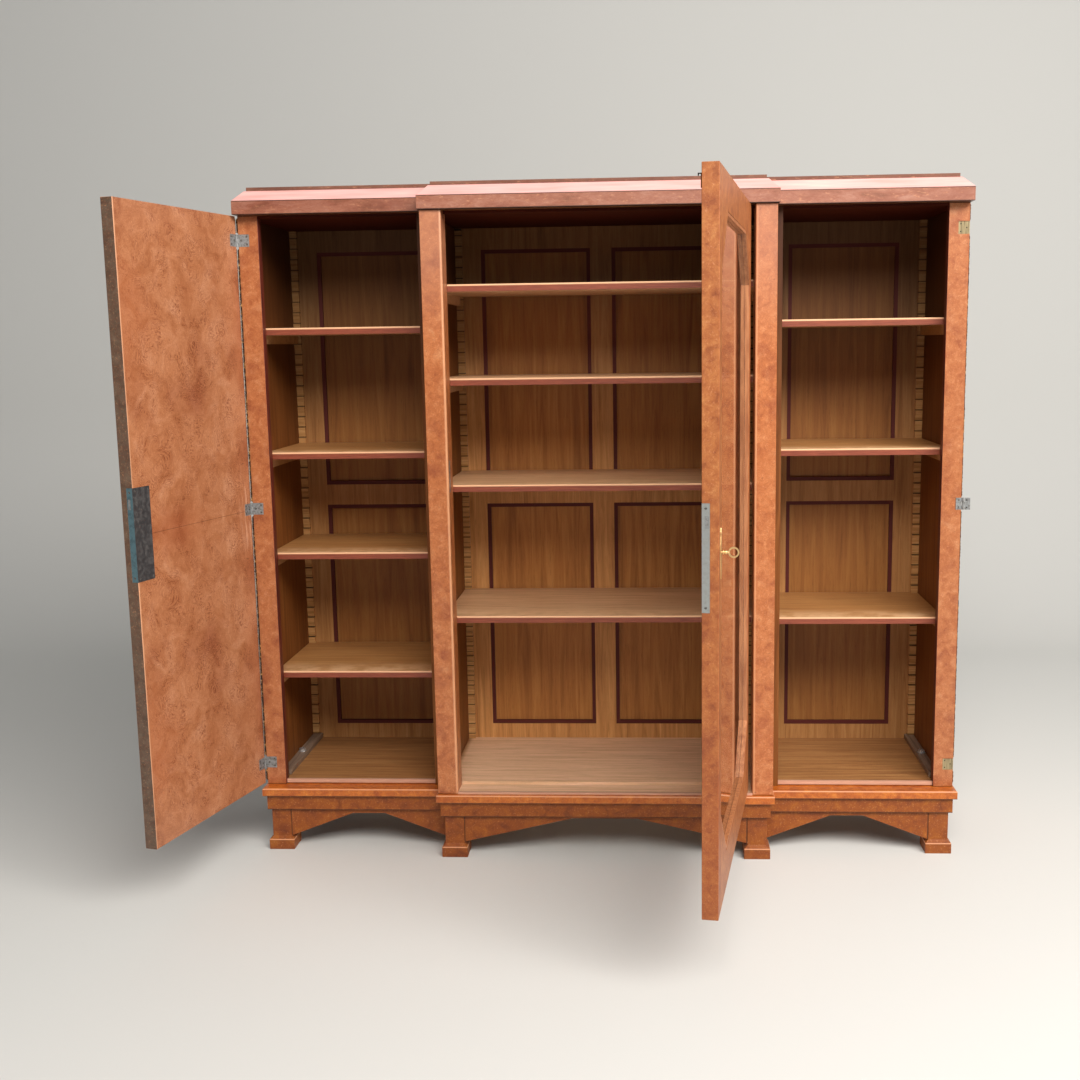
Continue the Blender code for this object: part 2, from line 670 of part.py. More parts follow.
def make_stiles():
    bottom = LEDGE_TOP_Z + REST_GAP
    cuts = [hinge_mortise(-1, z) for z in HINGE_CENTRES]
    piece("stile_left", cuboid(-SIDE_OUTER_X, -STILE_INNER_X, 0, STILE_DEPTH, bottom,
                               CASE_TOP_Z), BURR, ARRIS, cuts=cuts)
    cuts = [hinge_mortise(1, z) for z in HINGE_CENTRES]
    leaf = fixed_leaf(1, HINGE_CENTRES[1], SMALL_LEAF_REACH_X, MORTISE_DEPTH + BITE)
    piece("stile_right", cuboid(STILE_INNER_X, SIDE_OUTER_X, 0, STILE_DEPTH, bottom,
                                CASE_TOP_Z), BURR, ARRIS, cuts=cuts, late_joins=leaf)


def make_divider(name, side):
    """Divider on the case bottom, in one with its door stop strip and its racks."""
    low = LEDGE_TOP_Z + REST_GAP
    floor = FLOOR_TOP_Z + REST_GAP
    under_top = CEILING_Z - REST_GAP
    front = POST_BACK_Y + REST_GAP
    rear = BACK_FRONT_Y - REST_GAP
    outline = [(front, low), (STRIP_DEPTH, low), (STRIP_DEPTH, floor), (rear, floor),
               (rear, under_top), (STRIP_DEPTH, under_top), (STRIP_DEPTH, CASE_TOP_Z),
               (front, CASE_TOP_Z)]
    x0, x1 = sorted((side * DIVIDER_INNER_X, side * DIVIDER_OUTER_X))
    x2, x3 = sorted((side * (DIVIDER_OUTER_X - BITE), side * STRIP_OUTER_X))
    strip = cuboid(x2, x3, 0, STRIP_DEPTH, low, CASE_TOP_Z)
    outer = racks(side * DIVIDER_OUTER_X, side, STRIP_DEPTH - BITE, 0, floor)
    inner = racks(side * DIVIDER_INNER_X, -side, front, CENTRE_SEAT_SHIFT, floor)
    piece("divider_" + name, prism(outline, "x", x0, x1), OAK,
          joins=[strip] + outer + inner)


def post_outline(side):
    """Centre post with a rounded inner front arris."""
    turn = math.pi / 2 / ARRIS_SEGMENTS
    points = [(POST_OUTER_X, POST_BACK_Y), (POST_OUTER_X, POST_FRONT_Y)]
    for i in range(ARRIS_SEGMENTS + 1):
        points.append((POST_INNER_X + POST_ARRIS * (1 - math.sin(turn * i)),
                       POST_FRONT_Y + POST_ARRIS * (1 - math.cos(turn * i))))
    points.append((POST_INNER_X, POST_BACK_Y))
    return prism([(side * x, y) for x, y in points], "z", LEDGE_TOP_Z + REST_GAP, CASE_TOP_Z)


def lock_bolt_y(back_y):
    return back_y - BOLT_FROM_BACK


def bolt_slot(face_x, out, y):
    """Hole for a lock bolt that runs from outside the face into the post."""
    x0, x1 = sorted((face_x + out * OVERRUN, face_x - out * KEEPER_HOLE_DEPTH))
    thick = BOLT_HALF_THICKNESS + BOLT_GAP
    tall = BOLT_HALF_HEIGHT + BOLT_GAP
    return cuboid(x0, x1, y - thick, y + thick, BOLT_CENTRE_Z - tall, BOLT_CENTRE_Z + tall)


def keeper_box(thickness, gap, over):
    """Keeper plate on the left post's inner face, or with a gap its pocket."""
    y = lock_bolt_y(POST_FRONT_Y + CENTRE_DOOR_THICKNESS)
    return cuboid(-POST_INNER_X - thickness, -POST_INNER_X + over,
                  y - KEEPER_HALF_WIDTH - gap, y + KEEPER_HALF_WIDTH + gap,
                  KEEPER_BOTTOM_Z - gap, KEEPER_TOP_Z + gap)


def post_pockets():
    inner_y = lock_bolt_y(POST_FRONT_Y + CENTRE_DOOR_THICKNESS)
    return [keeper_box(KEEPER_THICKNESS + REST_GAP, REST_GAP, OVERRUN),
            bolt_slot(-POST_INNER_X, 1, inner_y),
            bolt_slot(-POST_OUTER_X, -1, lock_bolt_y(-REST_GAP))]


def make_keeper():
    inner_y = lock_bolt_y(POST_FRONT_Y + CENTRE_DOOR_THICKNESS)
    piece("keeper_plate", keeper_box(KEEPER_THICKNESS, 0, 0), STEEL,
          cuts=[bolt_slot(-POST_INNER_X, 1, inner_y)], roughness=0.4, metallic=1)


def board_outline(side_front, centre_front):
    """Full-width board between the end panels, cut round every upright.

    The two front edges lie between the stiles and strips, and between the posts.
    """
    edge = SIDE_INNER_X - REST_GAP
    stile = STILE_INNER_X - REST_GAP
    strip = STRIP_OUTER_X + REST_GAP
    divider = DIVIDER_INNER_X - REST_GAP
    post = POST_INNER_X - REST_GAP
    behind_stile = STILE_DEPTH + REST_GAP
    behind_strip = STRIP_DEPTH + REST_GAP
    behind_post = POST_BACK_Y + REST_GAP
    right = [(post, centre_front), (post, behind_post), (divider, behind_post),
             (divider, behind_strip), (strip, behind_strip), (strip, side_front),
             (stile, side_front), (stile, behind_stile), (edge, behind_stile),
             (edge, BACK_FRONT_Y - REST_GAP)]
    return right + [(-x, y) for x, y in reversed(right)]


def make_case_bottom():
    """Bottom board with raised front lippings and the threshold of the glazed door."""
    low = LEDGE_TOP_Z + REST_GAP
    strip = STRIP_OUTER_X + REST_GAP
    stile = STILE_INNER_X - REST_GAP
    reach = POST_INNER_X - REST_GAP
    threshold = cuboid(-reach, reach, THRESHOLD_FRONT_Y, FLOOR_LIP_CENTRE_Y + BITE, low,
                       THRESHOLD_TOP_Z)
    cuts = [rod("z", PIVOT_X, PIVOT_Y, PIVOT_PIN_R + RUNNING_GAP, LEDGE_TOP_Z,
                THRESHOLD_TOP_Z + OVERRUN)]
    for side in (-1, 1):
        x0, x1 = sorted((side * (strip - OVERRUN), side * (stile + OVERRUN)))
        cuts.append(cuboid(x0, x1, FLOOR_LIP_SIDE_Y - OVERRUN,
                           FLOOR_LIP_SIDE_Y + FLOOR_LIP_DEPTH, LEDGE_TOP_Z,
                           FLOOR_LIP_BOTTOM_Z))
        cuts.append(bolt_hole(side, LEDGE_TOP_Z, FLOOR_TOP_Z + OVERRUN))
    piece("case_bottom", prism(board_outline(FLOOR_LIP_SIDE_Y, FLOOR_LIP_CENTRE_Y), "z", low,
                               FLOOR_TOP_Z), OAK, joins=[threshold], cuts=cuts)


def make_case_top():
    piece("case_top", prism(board_outline(0, HEADER_CENTRE_Y), "z", CEILING_Z, CASE_TOP_Z),
          OAK)


# Back

def back_openings():
    """X limits of the four columns of panel openings."""
    low = MULLION_CENTRE_X - MULLION_WIDTH / 2
    high = MULLION_CENTRE_X + MULLION_WIDTH / 2
    return [(-SIDE_OPENING_OUTER_X, -SIDE_OPENING_INNER_X), (-CENTRE_OPENING_X, low),
            (high, CENTRE_OPENING_X), (SIDE_OPENING_INNER_X, SIDE_OPENING_OUTER_X)]


def row_levels():
    half = MID_RAIL_WIDTH / 2
    return [(OPENING_BOTTOM_Z, MID_RAIL_Z - half), (MID_RAIL_Z + half, OPENING_TOP_Z)]


def make_back():
    """Frame with a bead worked round each panel opening, and the board behind it."""
    low = LEDGE_TOP_Z + REST_GAP
    edge = SIDE_INNER_X - REST_GAP
    frame_rear = BACK_FRONT_Y + BACK_FRAME_DEPTH
    cuts = []
    for c0, c1 in back_openings():
        for z0, z1 in row_levels():
            cuts.append(cuboid(c0, c1, BACK_FRONT_Y - OVERRUN, BACK_FRONT_Y + BEAD_FRONT_SET,
                               z0, z1))
            cuts.append(cuboid(c0 + BEAD_WIDTH, c1 - BEAD_WIDTH, BACK_FRONT_Y,
                               frame_rear + OVERRUN, z0 + BEAD_WIDTH, z1 - BEAD_WIDTH))
    piece("back_frame", cuboid(-edge, edge, BACK_FRONT_Y, frame_rear, low, CASE_TOP_Z), OAK,
          cuts=cuts)
    piece("back_panel", cuboid(-edge, edge, frame_rear + REST_GAP, BACK_REAR_Y, low,
                               CASE_TOP_Z), OAK)


# Racks and shelves

def rack_outline(back_y, facing, bottom, first_seat):
    """Toothed strip seen from the side; facing is -1 for teeth to the front."""
    tip = back_y + facing * RACK_DEPTH
    seat = tip - facing * SEAT_DEPTH
    top = CEILING_Z - REST_GAP
    count = math.ceil((top - SEAT_DEPTH - first_seat) / TOOTH_PITCH)
    points = [(back_y, bottom), (tip, bottom)]
    for i in range(count):
        z = first_seat + i * TOOTH_PITCH
        points.append((tip, z))
        points.append((seat, z))
    points.append((tip, min(first_seat + count * TOOTH_PITCH, top - FINE_ARRIS)))
    points.append((tip, top))
    points.append((back_y, top))
    return points


def racks(wall_x, inward, front_y, seat_shift, bottom):
    """Front and back toothed rack of one wall; inward is the sign of x into the bay."""
    first = FIRST_SEAT_Z + seat_shift
    x0, x1 = sorted((wall_x - inward * BITE, wall_x + inward * RACK_WIDTH))
    rear = BACK_FRONT_Y - REST_GAP
    return [prism(rack_outline(rear, -1, bottom, first), "x", x0, x1),
            prism(rack_outline(front_y, 1, bottom, first), "x", x0, x1)]


def bay_setup():
    """Per bay: x span, front y of racks, seat shift, shelf front y and shelf shares."""
    outer = SIDE_INNER_X - REST_GAP
    inner = DIVIDER_OUTER_X + REST_GAP
    centre = DIVIDER_INNER_X - REST_GAP
    return [("left", (-outer, -inner), STRIP_DEPTH, 0, SIDE_SHELF_FRONT_Y,
             LEFT_SHELF_SHARES),
            ("centre", (-centre, centre), POST_BACK_Y + REST_GAP, CENTRE_SEAT_SHIFT,
             CENTRE_SHELF_FRONT_Y, CENTRE_SHELF_SHARES),
            ("right", (inner, outer), STRIP_DEPTH, 0, SIDE_SHELF_FRONT_Y,
             RIGHT_SHELF_SHARES)]


def cleat_outline(front, shift, shelf_bottom):
    """Bar whose ends fit into the teeth of a front and a back rack."""
    top = shelf_bottom + BITE
    steps = math.floor((top - FIRST_SEAT_Z - shift - CLEAT_WIDTH) / TOOTH_PITCH)
    seat_z = FIRST_SEAT_Z + shift + steps * TOOTH_PITCH
    low = seat_z + REST_GAP
    back_tip = BACK_FRONT_Y - REST_GAP - RACK_DEPTH
    front_tip = front + RACK_DEPTH
    deep_low = SEAT_DEPTH * (1 - (low - seat_z) / TOOTH_PITCH) - CLEAT_END_GAP
    deep_high = SEAT_DEPTH * (1 - (top - seat_z) / TOOTH_PITCH) - CLEAT_END_GAP
    return [(front_tip - deep_low, low), (back_tip + deep_low, low),
            (back_tip + deep_high, top), (front_tip - deep_high, top)]


def shelf_plan(span, rack_front, shelf_front, nose_half):
    """Shelf outline with its corners cut round the racks and its nose between posts."""
    middle = (span[0] + span[1]) / 2
    x0 = span[0] + SHELF_SIDE_GAP
    x1 = span[1] - SHELF_SIDE_GAP
    n0 = span[0] + RACK_WIDTH + RACK_NOTCH_GAP
    n1 = span[1] - RACK_WIDTH - RACK_NOTCH_GAP
    f0 = max(n0, middle - nose_half)
    f1 = min(n1, middle + nose_half)
    shoulder = rack_front + RACK_DEPTH + RACK_NOTCH_GAP
    step = rack_front + RACK_NOTCH_GAP
    rear = BACK_FRONT_Y - RACK_DEPTH - REST_GAP - RACK_NOTCH_GAP
    back = BACK_FRONT_Y - REST_GAP - SHELF_SIDE_GAP
    left = [(f0, shelf_front)]
    right = [(f1, shelf_front)]
    if f0 > n0:
        left = [(n0, step), (f0, step)] + left
        right += [(f1, step), (n1, step)]
    return left + right + [(n1, shoulder), (x1, shoulder), (x1, rear), (n1, rear),
                           (n1, back), (n0, back), (n0, rear), (x0, rear), (x0, shoulder),
                           (n0, shoulder)]


def make_shelves():
    """Loose shelves, each in one with the two cleats that sit in the racks."""
    for name, span, rack_front, shift, front, shares in bay_setup():
        nose = POST_INNER_X - SHELF_SIDE_GAP
        outline = shelf_plan(span, rack_front, front, nose)
        for i, share in enumerate(shares):
            low = FLOOR_TOP_Z + share * (CEILING_Z - FLOOR_TOP_Z)
            bar = cleat_outline(rack_front, shift, low)
            joins = [prism(bar, "x", span[0], span[0] + CLEAT_WIDTH),
                     prism(bar, "x", span[1] - CLEAT_WIDTH, span[1])]
            piece("shelf_" + name + "_" + str(i + 1),
                  prism(outline, "z", low, low + SHELF_THICKNESS), OAK, FINE_ARRIS,
                  joins=joins)


def make_battens():
    for name, side in (("left", -1), ("right", 1)):
        wall = SIDE_INNER_X - REST_GAP
        x0, x1 = sorted((side * wall, side * (wall - BATTEN_WIDTH)))
        low = FLOOR_TOP_Z + REST_GAP
        hole = bolt_hole(side, FLOOR_TOP_Z, low + BATTEN_HEIGHT + OVERRUN)
        piece("batten_" + name, cuboid(x0, x1, BATTEN_FRONT_Y, BACK_FRONT_Y - REST_GAP, low,
                                       low + BATTEN_HEIGHT), GREY_WOOD, ARRIS, cuts=[hole])


def make_bolts():
    seat = FLOOR_TOP_Z + REST_GAP + BATTEN_HEIGHT + REST_GAP
    washer_top = seat + BOLT_WASHER_HEIGHT
    for name, side in (("left", -1), ("right", 1)):
        turned = stepped_rod(side * BOLT_X, BOLT_Y, [
            (BOLT_SHANK_R, BOLT_END_Z), (BOLT_SHANK_R, seat), (BOLT_WASHER_R, seat),
            (BOLT_WASHER_R, washer_top), (BOLT_HEAD_R, washer_top),
            (BOLT_HEAD_R, washer_top + BOLT_HEAD_HEIGHT)])
        piece("knock_down_bolt_" + name, turned, STEEL, roughness=0.2, metallic=1)


def stepped_rod(x, y, steps):
    """Turned solid from a list of (radius, z), upward."""
    verts = []
    for radius, z in steps:
        verts += [(px, py, z) for px, py in circle(x, y, radius, ROUND_SIDES)]
    faces = [tuple(range(ROUND_SIDES)),
             tuple(range(len(verts) - ROUND_SIDES, len(verts)))]
    for level in range(len(steps) - 1):
        base = level * ROUND_SIDES
        for i in range(ROUND_SIDES):
            j = (i + 1) % ROUND_SIDES
            faces.append((base + i, base + j, base + ROUND_SIDES + j, base + ROUND_SIDES + i))
    return verts, faces


# Cornice

def cornice_path(inset):
    return breakfront(CORNICE_X - inset, CORNICE_STEP_X - inset, CORNICE_SIDE_Y + inset,
                      CORNICE_CENTRE_Y + inset, BACK_REAR_Y)


def make_cornice():
    fascia = [(0, FASCIA_BOTTOM_Z), (0, FASCIA_TOP_Z), (-FASCIA_DEPTH, FASCIA_TOP_Z),
              (-FASCIA_DEPTH, FASCIA_BOTTOM_Z)]
    hole = rod("z", PIVOT_X, PIVOT_Y, PIVOT_PIN_R + RUNNING_GAP, FASCIA_BOTTOM_Z - OVERRUN,
               PIVOT_HOLE_TOP_Z)
    piece("cornice_fascia", moulding(fascia, cornice_path(0)), BURR, FINE_ARRIS, cuts=[hole])
    low = FASCIA_TOP_Z + REST_GAP
    chamfer = [(0, low), (-CHAMFER_RUN, CHAMFER_TOP_Z), (-CHAMFER_DEPTH, CHAMFER_TOP_Z),
               (-CHAMFER_DEPTH, low)]
    piece("cornice_chamfer", moulding(chamfer, cornice_path(0)), PALE_WOOD, FINE_ARRIS)
    soffit_top = FASCIA_BOTTOM_Z + SOFFIT_THICKNESS
    reach = CORNICE_X - CHAMFER_DEPTH - REST_GAP
    rail = cuboid(-reach, reach, BACK_REAR_Y - REAR_RAIL_DEPTH, BACK_REAR_Y,
                  soffit_top - BITE, CHAMFER_TOP_Z)
    piece("cornice_soffit", prism(cornice_path(FASCIA_DEPTH + REST_GAP), "z",
                                  FASCIA_BOTTOM_Z, soffit_top), OAK, joins=[rail])
    piece("cornice_top_board", prism(cornice_path(TOP_SET), "z", CHAMFER_TOP_Z + REST_GAP,
                                     TOP_Z), PALE_WOOD, FINE_ARRIS)


# Butt hinges

def knuckle_bands(z):
    """Z limits of the lower, middle and upper third of a knuckle."""
    low = z - LEAF_HEIGHT / 2
    third = LEAF_HEIGHT / 3
    return [(low + i * third, low + (i + 1) * third) for i in range(3)]


def fixed_leaf(side, z, reach, thickness):
    """Leaf let into the stile, with two knuckles and the pin."""
    half = LEAF_HEIGHT / 2
    x0, x1 = sorted((side * reach, side * LEAF_ROOT_X))
    solids = [cuboid(x0, x1, 0, thickness, z - half, z + half)]
    bands = knuckle_bands(z)
    x0, x1 = sorted((side * (LEAF_ROOT_X - BITE), side * HINGE_AXIS_X))
    for low, high in (bands[0], bands[2]):
        solids.append(cuboid(x0, x1, 0, LEAF_THICKNESS, low, high))
        solids.append(rod("z", side * HINGE_AXIS_X, HINGE_AXIS_Y, KNUCKLE_R, low, high))
    solids.append(rod("z", side * HINGE_AXIS_X, HINGE_AXIS_Y, HINGE_PIN_R,
                      z - half + FINE_ARRIS, z + half - FINE_ARRIS))
    return solids


def moving_knuckle(side, z):
    """Middle knuckle of a moving leaf, bored for the pin, with its tongue."""
    low, high = knuckle_bands(z)[1]
    low += KNUCKLE_GAP
    high -= KNUCKLE_GAP
    back = -REST_GAP
    wall_middle = (KNUCKLE_R + HINGE_PIN_R + RUNNING_GAP) / 2
    x0, x1 = sorted((side * (LEAF_ROOT_X - BITE), side * (HINGE_AXIS_X - wall_middle)))
    centre = (side * HINGE_AXIS_X, HINGE_AXIS_Y)
    tube = collar(circle(*centre, KNUCKLE_R, ROUND_SIDES),
                  circle(*centre, HINGE_PIN_R + RUNNING_GAP, ROUND_SIDES), "z", low, high)
    return [cuboid(x0, x1, back - LEAF_THICKNESS, back, low, high), tube]


def door_mortise(side, z):
    """Pocket for the moving leaf in a door's back face."""
    half = LEAF_HEIGHT / 2 + REST_GAP
    x0, x1 = sorted((side * MORTISE_X, side * (SIDE_OUTER_X + OVERRUN)))
    return cuboid(x0, x1, -REST_GAP - MORTISE_DEPTH, OVERRUN, z - half, z + half)


def door_leaf(side, z):
    """Moving leaf bedded in its door, with its knuckle."""
    half = LEAF_HEIGHT / 2
    x0, x1 = sorted((side * LEAF_REACH_X, side * LEAF_ROOT_X))
    plate = cuboid(x0, x1, -REST_GAP - MORTISE_DEPTH - BITE, -REST_GAP, z - half, z + half)
    return [plate] + moving_knuckle(side, z)


def make_fixed_leaves():
    for name, z in zip(("bottom", "middle", "top"), HINGE_CENTRES):
        solids = fixed_leaf(-1, z, LEAF_REACH_X, LEAF_THICKNESS)
        piece("left_hinge_leaf_" + name, solids[0], STEEL, joins=solids[1:], roughness=0.4,
              metallic=1)


def make_loose_leaf():
    """The leaf left hanging on the right stile's middle hinge, folded out."""
    z = HINGE_CENTRES[1]
    half = LEAF_HEIGHT / 2
    carrier = carrier_at("loose_leaf_axis", (HINGE_AXIS_X, HINGE_AXIS_Y, z),
                         LOOSE_LEAF_OPEN_DEG)
    plate = cuboid(SMALL_LEAF_REACH_X, LEAF_ROOT_X, -REST_GAP - LEAF_THICKNESS, -REST_GAP,
                   z - half, z + half)
    piece("right_hinge_loose_leaf", plate, STEEL, joins=moving_knuckle(1, z),
          carrier=carrier, roughness=0.4, metallic=1)


# Locks

def lock_outline(free_x, back_y, reach):
    """Plan of a lock: faceplate on the edge, case behind it, flush with the back."""
    plate = LOCK_PLATE_THICKNESS
    face = back_y - REST_GAP
    front = face - LOCK_CASE_DEPTH
    return [(free_x, front - LOCK_PLATE_EXTRA), (free_x + plate, front - LOCK_PLATE_EXTRA),
            (free_x + plate, front), (free_x + reach, front), (free_x + reach, face),
            (free_x, face)]


def lock_pocket(free_x, back_y, reach):
    """Room for the lock, open to the free edge and the back face."""
    plate = LOCK_PLATE_THICKNESS + REST_GAP
    front = back_y - REST_GAP - LOCK_CASE_DEPTH - REST_GAP
    out = free_x - OVERRUN
    far = free_x + reach + REST_GAP
    outline = [(out, front - LOCK_PLATE_EXTRA), (free_x + plate, front - LOCK_PLATE_EXTRA),
               (free_x + plate, front), (far, front), (far, back_y + OVERRUN),
               (out, back_y + OVERRUN)]
    return prism(outline, "z", LOCK_BOTTOM_Z - REST_GAP, LOCK_TOP_Z + REST_GAP)


def lock_cuts(free_x, back_y, inward=1):
    """Room for the bolt and the key's chamber inside a lock."""
    y = lock_bolt_y(back_y)
    thick = BOLT_HALF_THICKNESS + BOLT_GAP
    tall = BOLT_HALF_HEIGHT + BOLT_GAP
    x0, x1 = sorted((free_x - inward * OVERRUN, free_x + inward * BOLT_ROOM))
    room = cuboid(x0, x1, y - thick, y + thick, BOLT_CENTRE_Z - tall, BOLT_CENTRE_Z + tall)
    front = back_y - REST_GAP - LOCK_CASE_DEPTH
    chamber = rod("y", free_x + inward * KEY_BACKSET, KEY_Z, CHAMBER_R, front - OVERRUN,
                  front + CHAMBER_DEPTH)
    return [room, chamber]


def lock_bolt(free_x, back_y, inward=1):
    y = lock_bolt_y(back_y)
    x0, x1 = sorted((free_x, free_x + inward * BOLT_LENGTH))
    return cuboid(x0, x1, y - BOLT_HALF_THICKNESS, y + BOLT_HALF_THICKNESS,
                  BOLT_CENTRE_Z - BOLT_HALF_HEIGHT, BOLT_CENTRE_Z + BOLT_HALF_HEIGHT)


def keyhole(x, low, high):
    """Keyhole: a round with a slot below it, cut along y."""
    points = []
    start = math.asin(KEYHOLE_SLOT_HALF / KEYHOLE_R)
    sweep = FULL_TURN - 2 * start
    for i in range(ROUND_SIDES):
        angle = -math.pi / 2 + start + sweep * i / (ROUND_SIDES - 1)
        points.append((x + KEYHOLE_R * math.cos(angle), KEY_Z + KEYHOLE_R * math.sin(angle)))
    points.append((x - KEYHOLE_SLOT_HALF, KEY_Z - KEYHOLE_DROP))
    points.append((x + KEYHOLE_SLOT_HALF, KEY_Z - KEYHOLE_DROP))
    return prism(points, "y", low, high)


def escutcheon(x, face_y):
    """Upright plate with a small finial, drawn from its half widths."""
    right = [(x + half, ESCUTCHEON_BOTTOM_Z + i * ESCUTCHEON_STEP)
             for i, half in enumerate(ESCUTCHEON_HALF_WIDTHS)]
    left = [(2 * x - px, z) for px, z in reversed(right)]
    front = face_y - REST_GAP
    return prism(right + left, "y", front - ESCUTCHEON_THICKNESS, front)


# Left door

def make_left_door():
    pivot = (-HINGE_AXIS_X, HINGE_AXIS_Y, LEFT_DOOR_BOTTOM_Z)
    carrier = carrier_at("left_door_axis", pivot, -LEFT_DOOR_OPEN_DEG)
    back = -REST_GAP
    front = back - LEFT_DOOR_THICKNESS
    free = LEFT_DOOR_FREE_X
    pocket = mirrored(lock_pocket(free, back, LEFT_LOCK_REACH), free)
    hole = keyhole(free - KEY_BACKSET, front - OVERRUN, back - LOCK_CASE_DEPTH)
    mortises = [door_mortise(-1, z) for z in HINGE_CENTRES]
    leaves = [solid for z in HINGE_CENTRES for solid in door_leaf(-1, z)]
    slab = cuboid(-SIDE_OUTER_X, free, front, back, LEFT_DOOR_BOTTOM_Z, LEFT_DOOR_TOP_Z)
    piece("left_door_slab", slab, BURR, ARRIS, cuts=[pocket, hole] + mortises,
          late_joins=leaves, carrier=carrier)
    case = mirrored(prism(lock_outline(free, back, LEFT_LOCK_REACH), "z", LOCK_BOTTOM_Z,
                          LOCK_TOP_Z), free)
    piece("left_door_lock", case, STEEL, cuts=lock_cuts(free, back, -1), carrier=carrier,
          roughness=0.5, metallic=1)
    piece("left_lock_bolt", lock_bolt(free, back, -1), STEEL, carrier=carrier,
          roughness=0.4, metallic=1)


def mirrored(solid, about_x):
    """Mirror a solid in the plane x = about_x."""
    verts, faces = solid
    return [(2 * about_x - x, y, z) for x, y, z in verts], faces


# Centre door

def door_opening(inset):
    """Glass opening of the centre door with canted corners, drawn in by an inset."""
    x0 = -CENTRE_DOOR_HALF + FREE_STILE_WIDTH + inset
    x1 = CENTRE_DOOR_HALF - HINGE_STILE_WIDTH - inset
    z0 = CENTRE_DOOR_BOTTOM_Z + BOTTOM_RAIL_WIDTH + inset
    z1 = CENTRE_DOOR_TOP_Z - TOP_RAIL_WIDTH - inset
    cant = CANT - inset * CANT_INSET_SHARE
    return [(x0 + cant, z0), (x1 - cant, z0), (x1, z0 + cant), (x1, z1 - cant),
            (x1 - cant, z1), (x0 + cant, z1), (x0, z1 - cant), (x0, z0 + cant)]


def rail_outline(edge_z, near, flat):
    """Rail between the stiles, widening into both canted corners."""
    opening = door_opening(0)
    x0 = -CENTRE_DOOR_HALF + FREE_STILE_WIDTH + REST_GAP
    x1 = CENTRE_DOOR_HALF - HINGE_STILE_WIDTH - REST_GAP
    cant_z = opening[near][1] + math.copysign(REST_GAP, edge_z - opening[near][1])
    flat_z = opening[flat][1]
    return [(x0, edge_z), (x1, edge_z), (x1, cant_z), (opening[1][0], flat_z),
            (opening[0][0], flat_z), (x0, cant_z)]


def make_centre_frame(carrier):
    front = POST_FRONT_Y
    back = front + CENTRE_DOOR_THICKNESS
    free = -CENTRE_DOOR_HALF
    top = CENTRE_DOOR_TOP_Z
    bottom = CENTRE_DOOR_BOTTOM_Z
    piece("centre_door_free_stile", cuboid(free, free + FREE_STILE_WIDTH, front, back, bottom,
                                           top), BURR, ARRIS,
          cuts=[lock_pocket(free, back, CENTRE_LOCK_REACH),
                keyhole(free + KEY_BACKSET, front - OVERRUN, back - LOCK_CASE_DEPTH)],
          carrier=carrier)
    pins = [rod("z", PIVOT_X, PIVOT_Y, PIVOT_PIN_R, top - PIVOT_PIN_ROOT,
                top + PIVOT_PIN_RISE),
            rod("z", PIVOT_X, PIVOT_Y, PIVOT_PIN_R, bottom - PIVOT_PIN_DROP,
                bottom + PIVOT_PIN_ROOT)]
    piece("centre_door_hinge_stile", cuboid(CENTRE_DOOR_HALF - HINGE_STILE_WIDTH,
                                            CENTRE_DOOR_HALF, front, back, bottom, top),
          BURR, ARRIS, joins=pins, carrier=carrier)
    piece("centre_door_top_rail", prism(rail_outline(top, 6, 5), "y", front, back), BURR,
          FINE_ARRIS, carrier=carrier)
    piece("centre_door_bottom_rail", prism(rail_outline(bottom, 7, 0), "y", front, back),
          BURR, FINE_ARRIS, carrier=carrier)


def make_centre_glazing(carrier):
    """Glass held between an outer and an inner bead."""
    front = POST_FRONT_Y + DOOR_BEAD_SET
    back = POST_FRONT_Y + CENTRE_DOOR_THICKNESS - DOOR_BEAD_SET
    glass_front = front + DOOR_BEAD_DEPTH + REST_GAP
    glass_back = glass_front + GLASS_THICKNESS
    piece("centre_door_glass", prism(door_opening(GLASS_EDGE_GAP), "y", glass_front,
                                     glass_back), CLEAR, carrier=carrier, roughness=0.02)
    for name, low, high in (("outer", front, front + DOOR_BEAD_DEPTH),
                            ("inner", glass_back + REST_GAP, back)):
        piece("centre_door_bead_" + name,
              collar(door_opening(REST_GAP), door_opening(DOOR_BEAD_WIDTH), "y", low, high),
              DARK_RED, carrier=carrier)


def make_centre_lock(carrier):
    back = POST_FRONT_Y + CENTRE_DOOR_THICKNESS
    free = -CENTRE_DOOR_HALF
    key_x = free + KEY_BACKSET
    lock = prism(lock_outline(free, back, CENTRE_LOCK_REACH), "z", LOCK_BOTTOM_Z, LOCK_TOP_Z)
    piece("centre_door_lock", lock, STEEL, cuts=lock_cuts(free, back), carrier=carrier,
          roughness=0.5, metallic=1)
    piece("centre_lock_bolt", lock_bolt(free, back), STEEL, carrier=carrier,
          roughness=0.4, metallic=1)
    face = POST_FRONT_Y
    piece("centre_door_escutcheon", escutcheon(key_x, face), BRASS,
          cuts=[keyhole(key_x, face - ESCUTCHEON_THICKNESS - OVERRUN, face)],
          carrier=carrier, roughness=0.3, metallic=1)
    make_key(carrier, key_x, back - REST_GAP - LOCK_CASE_DEPTH)


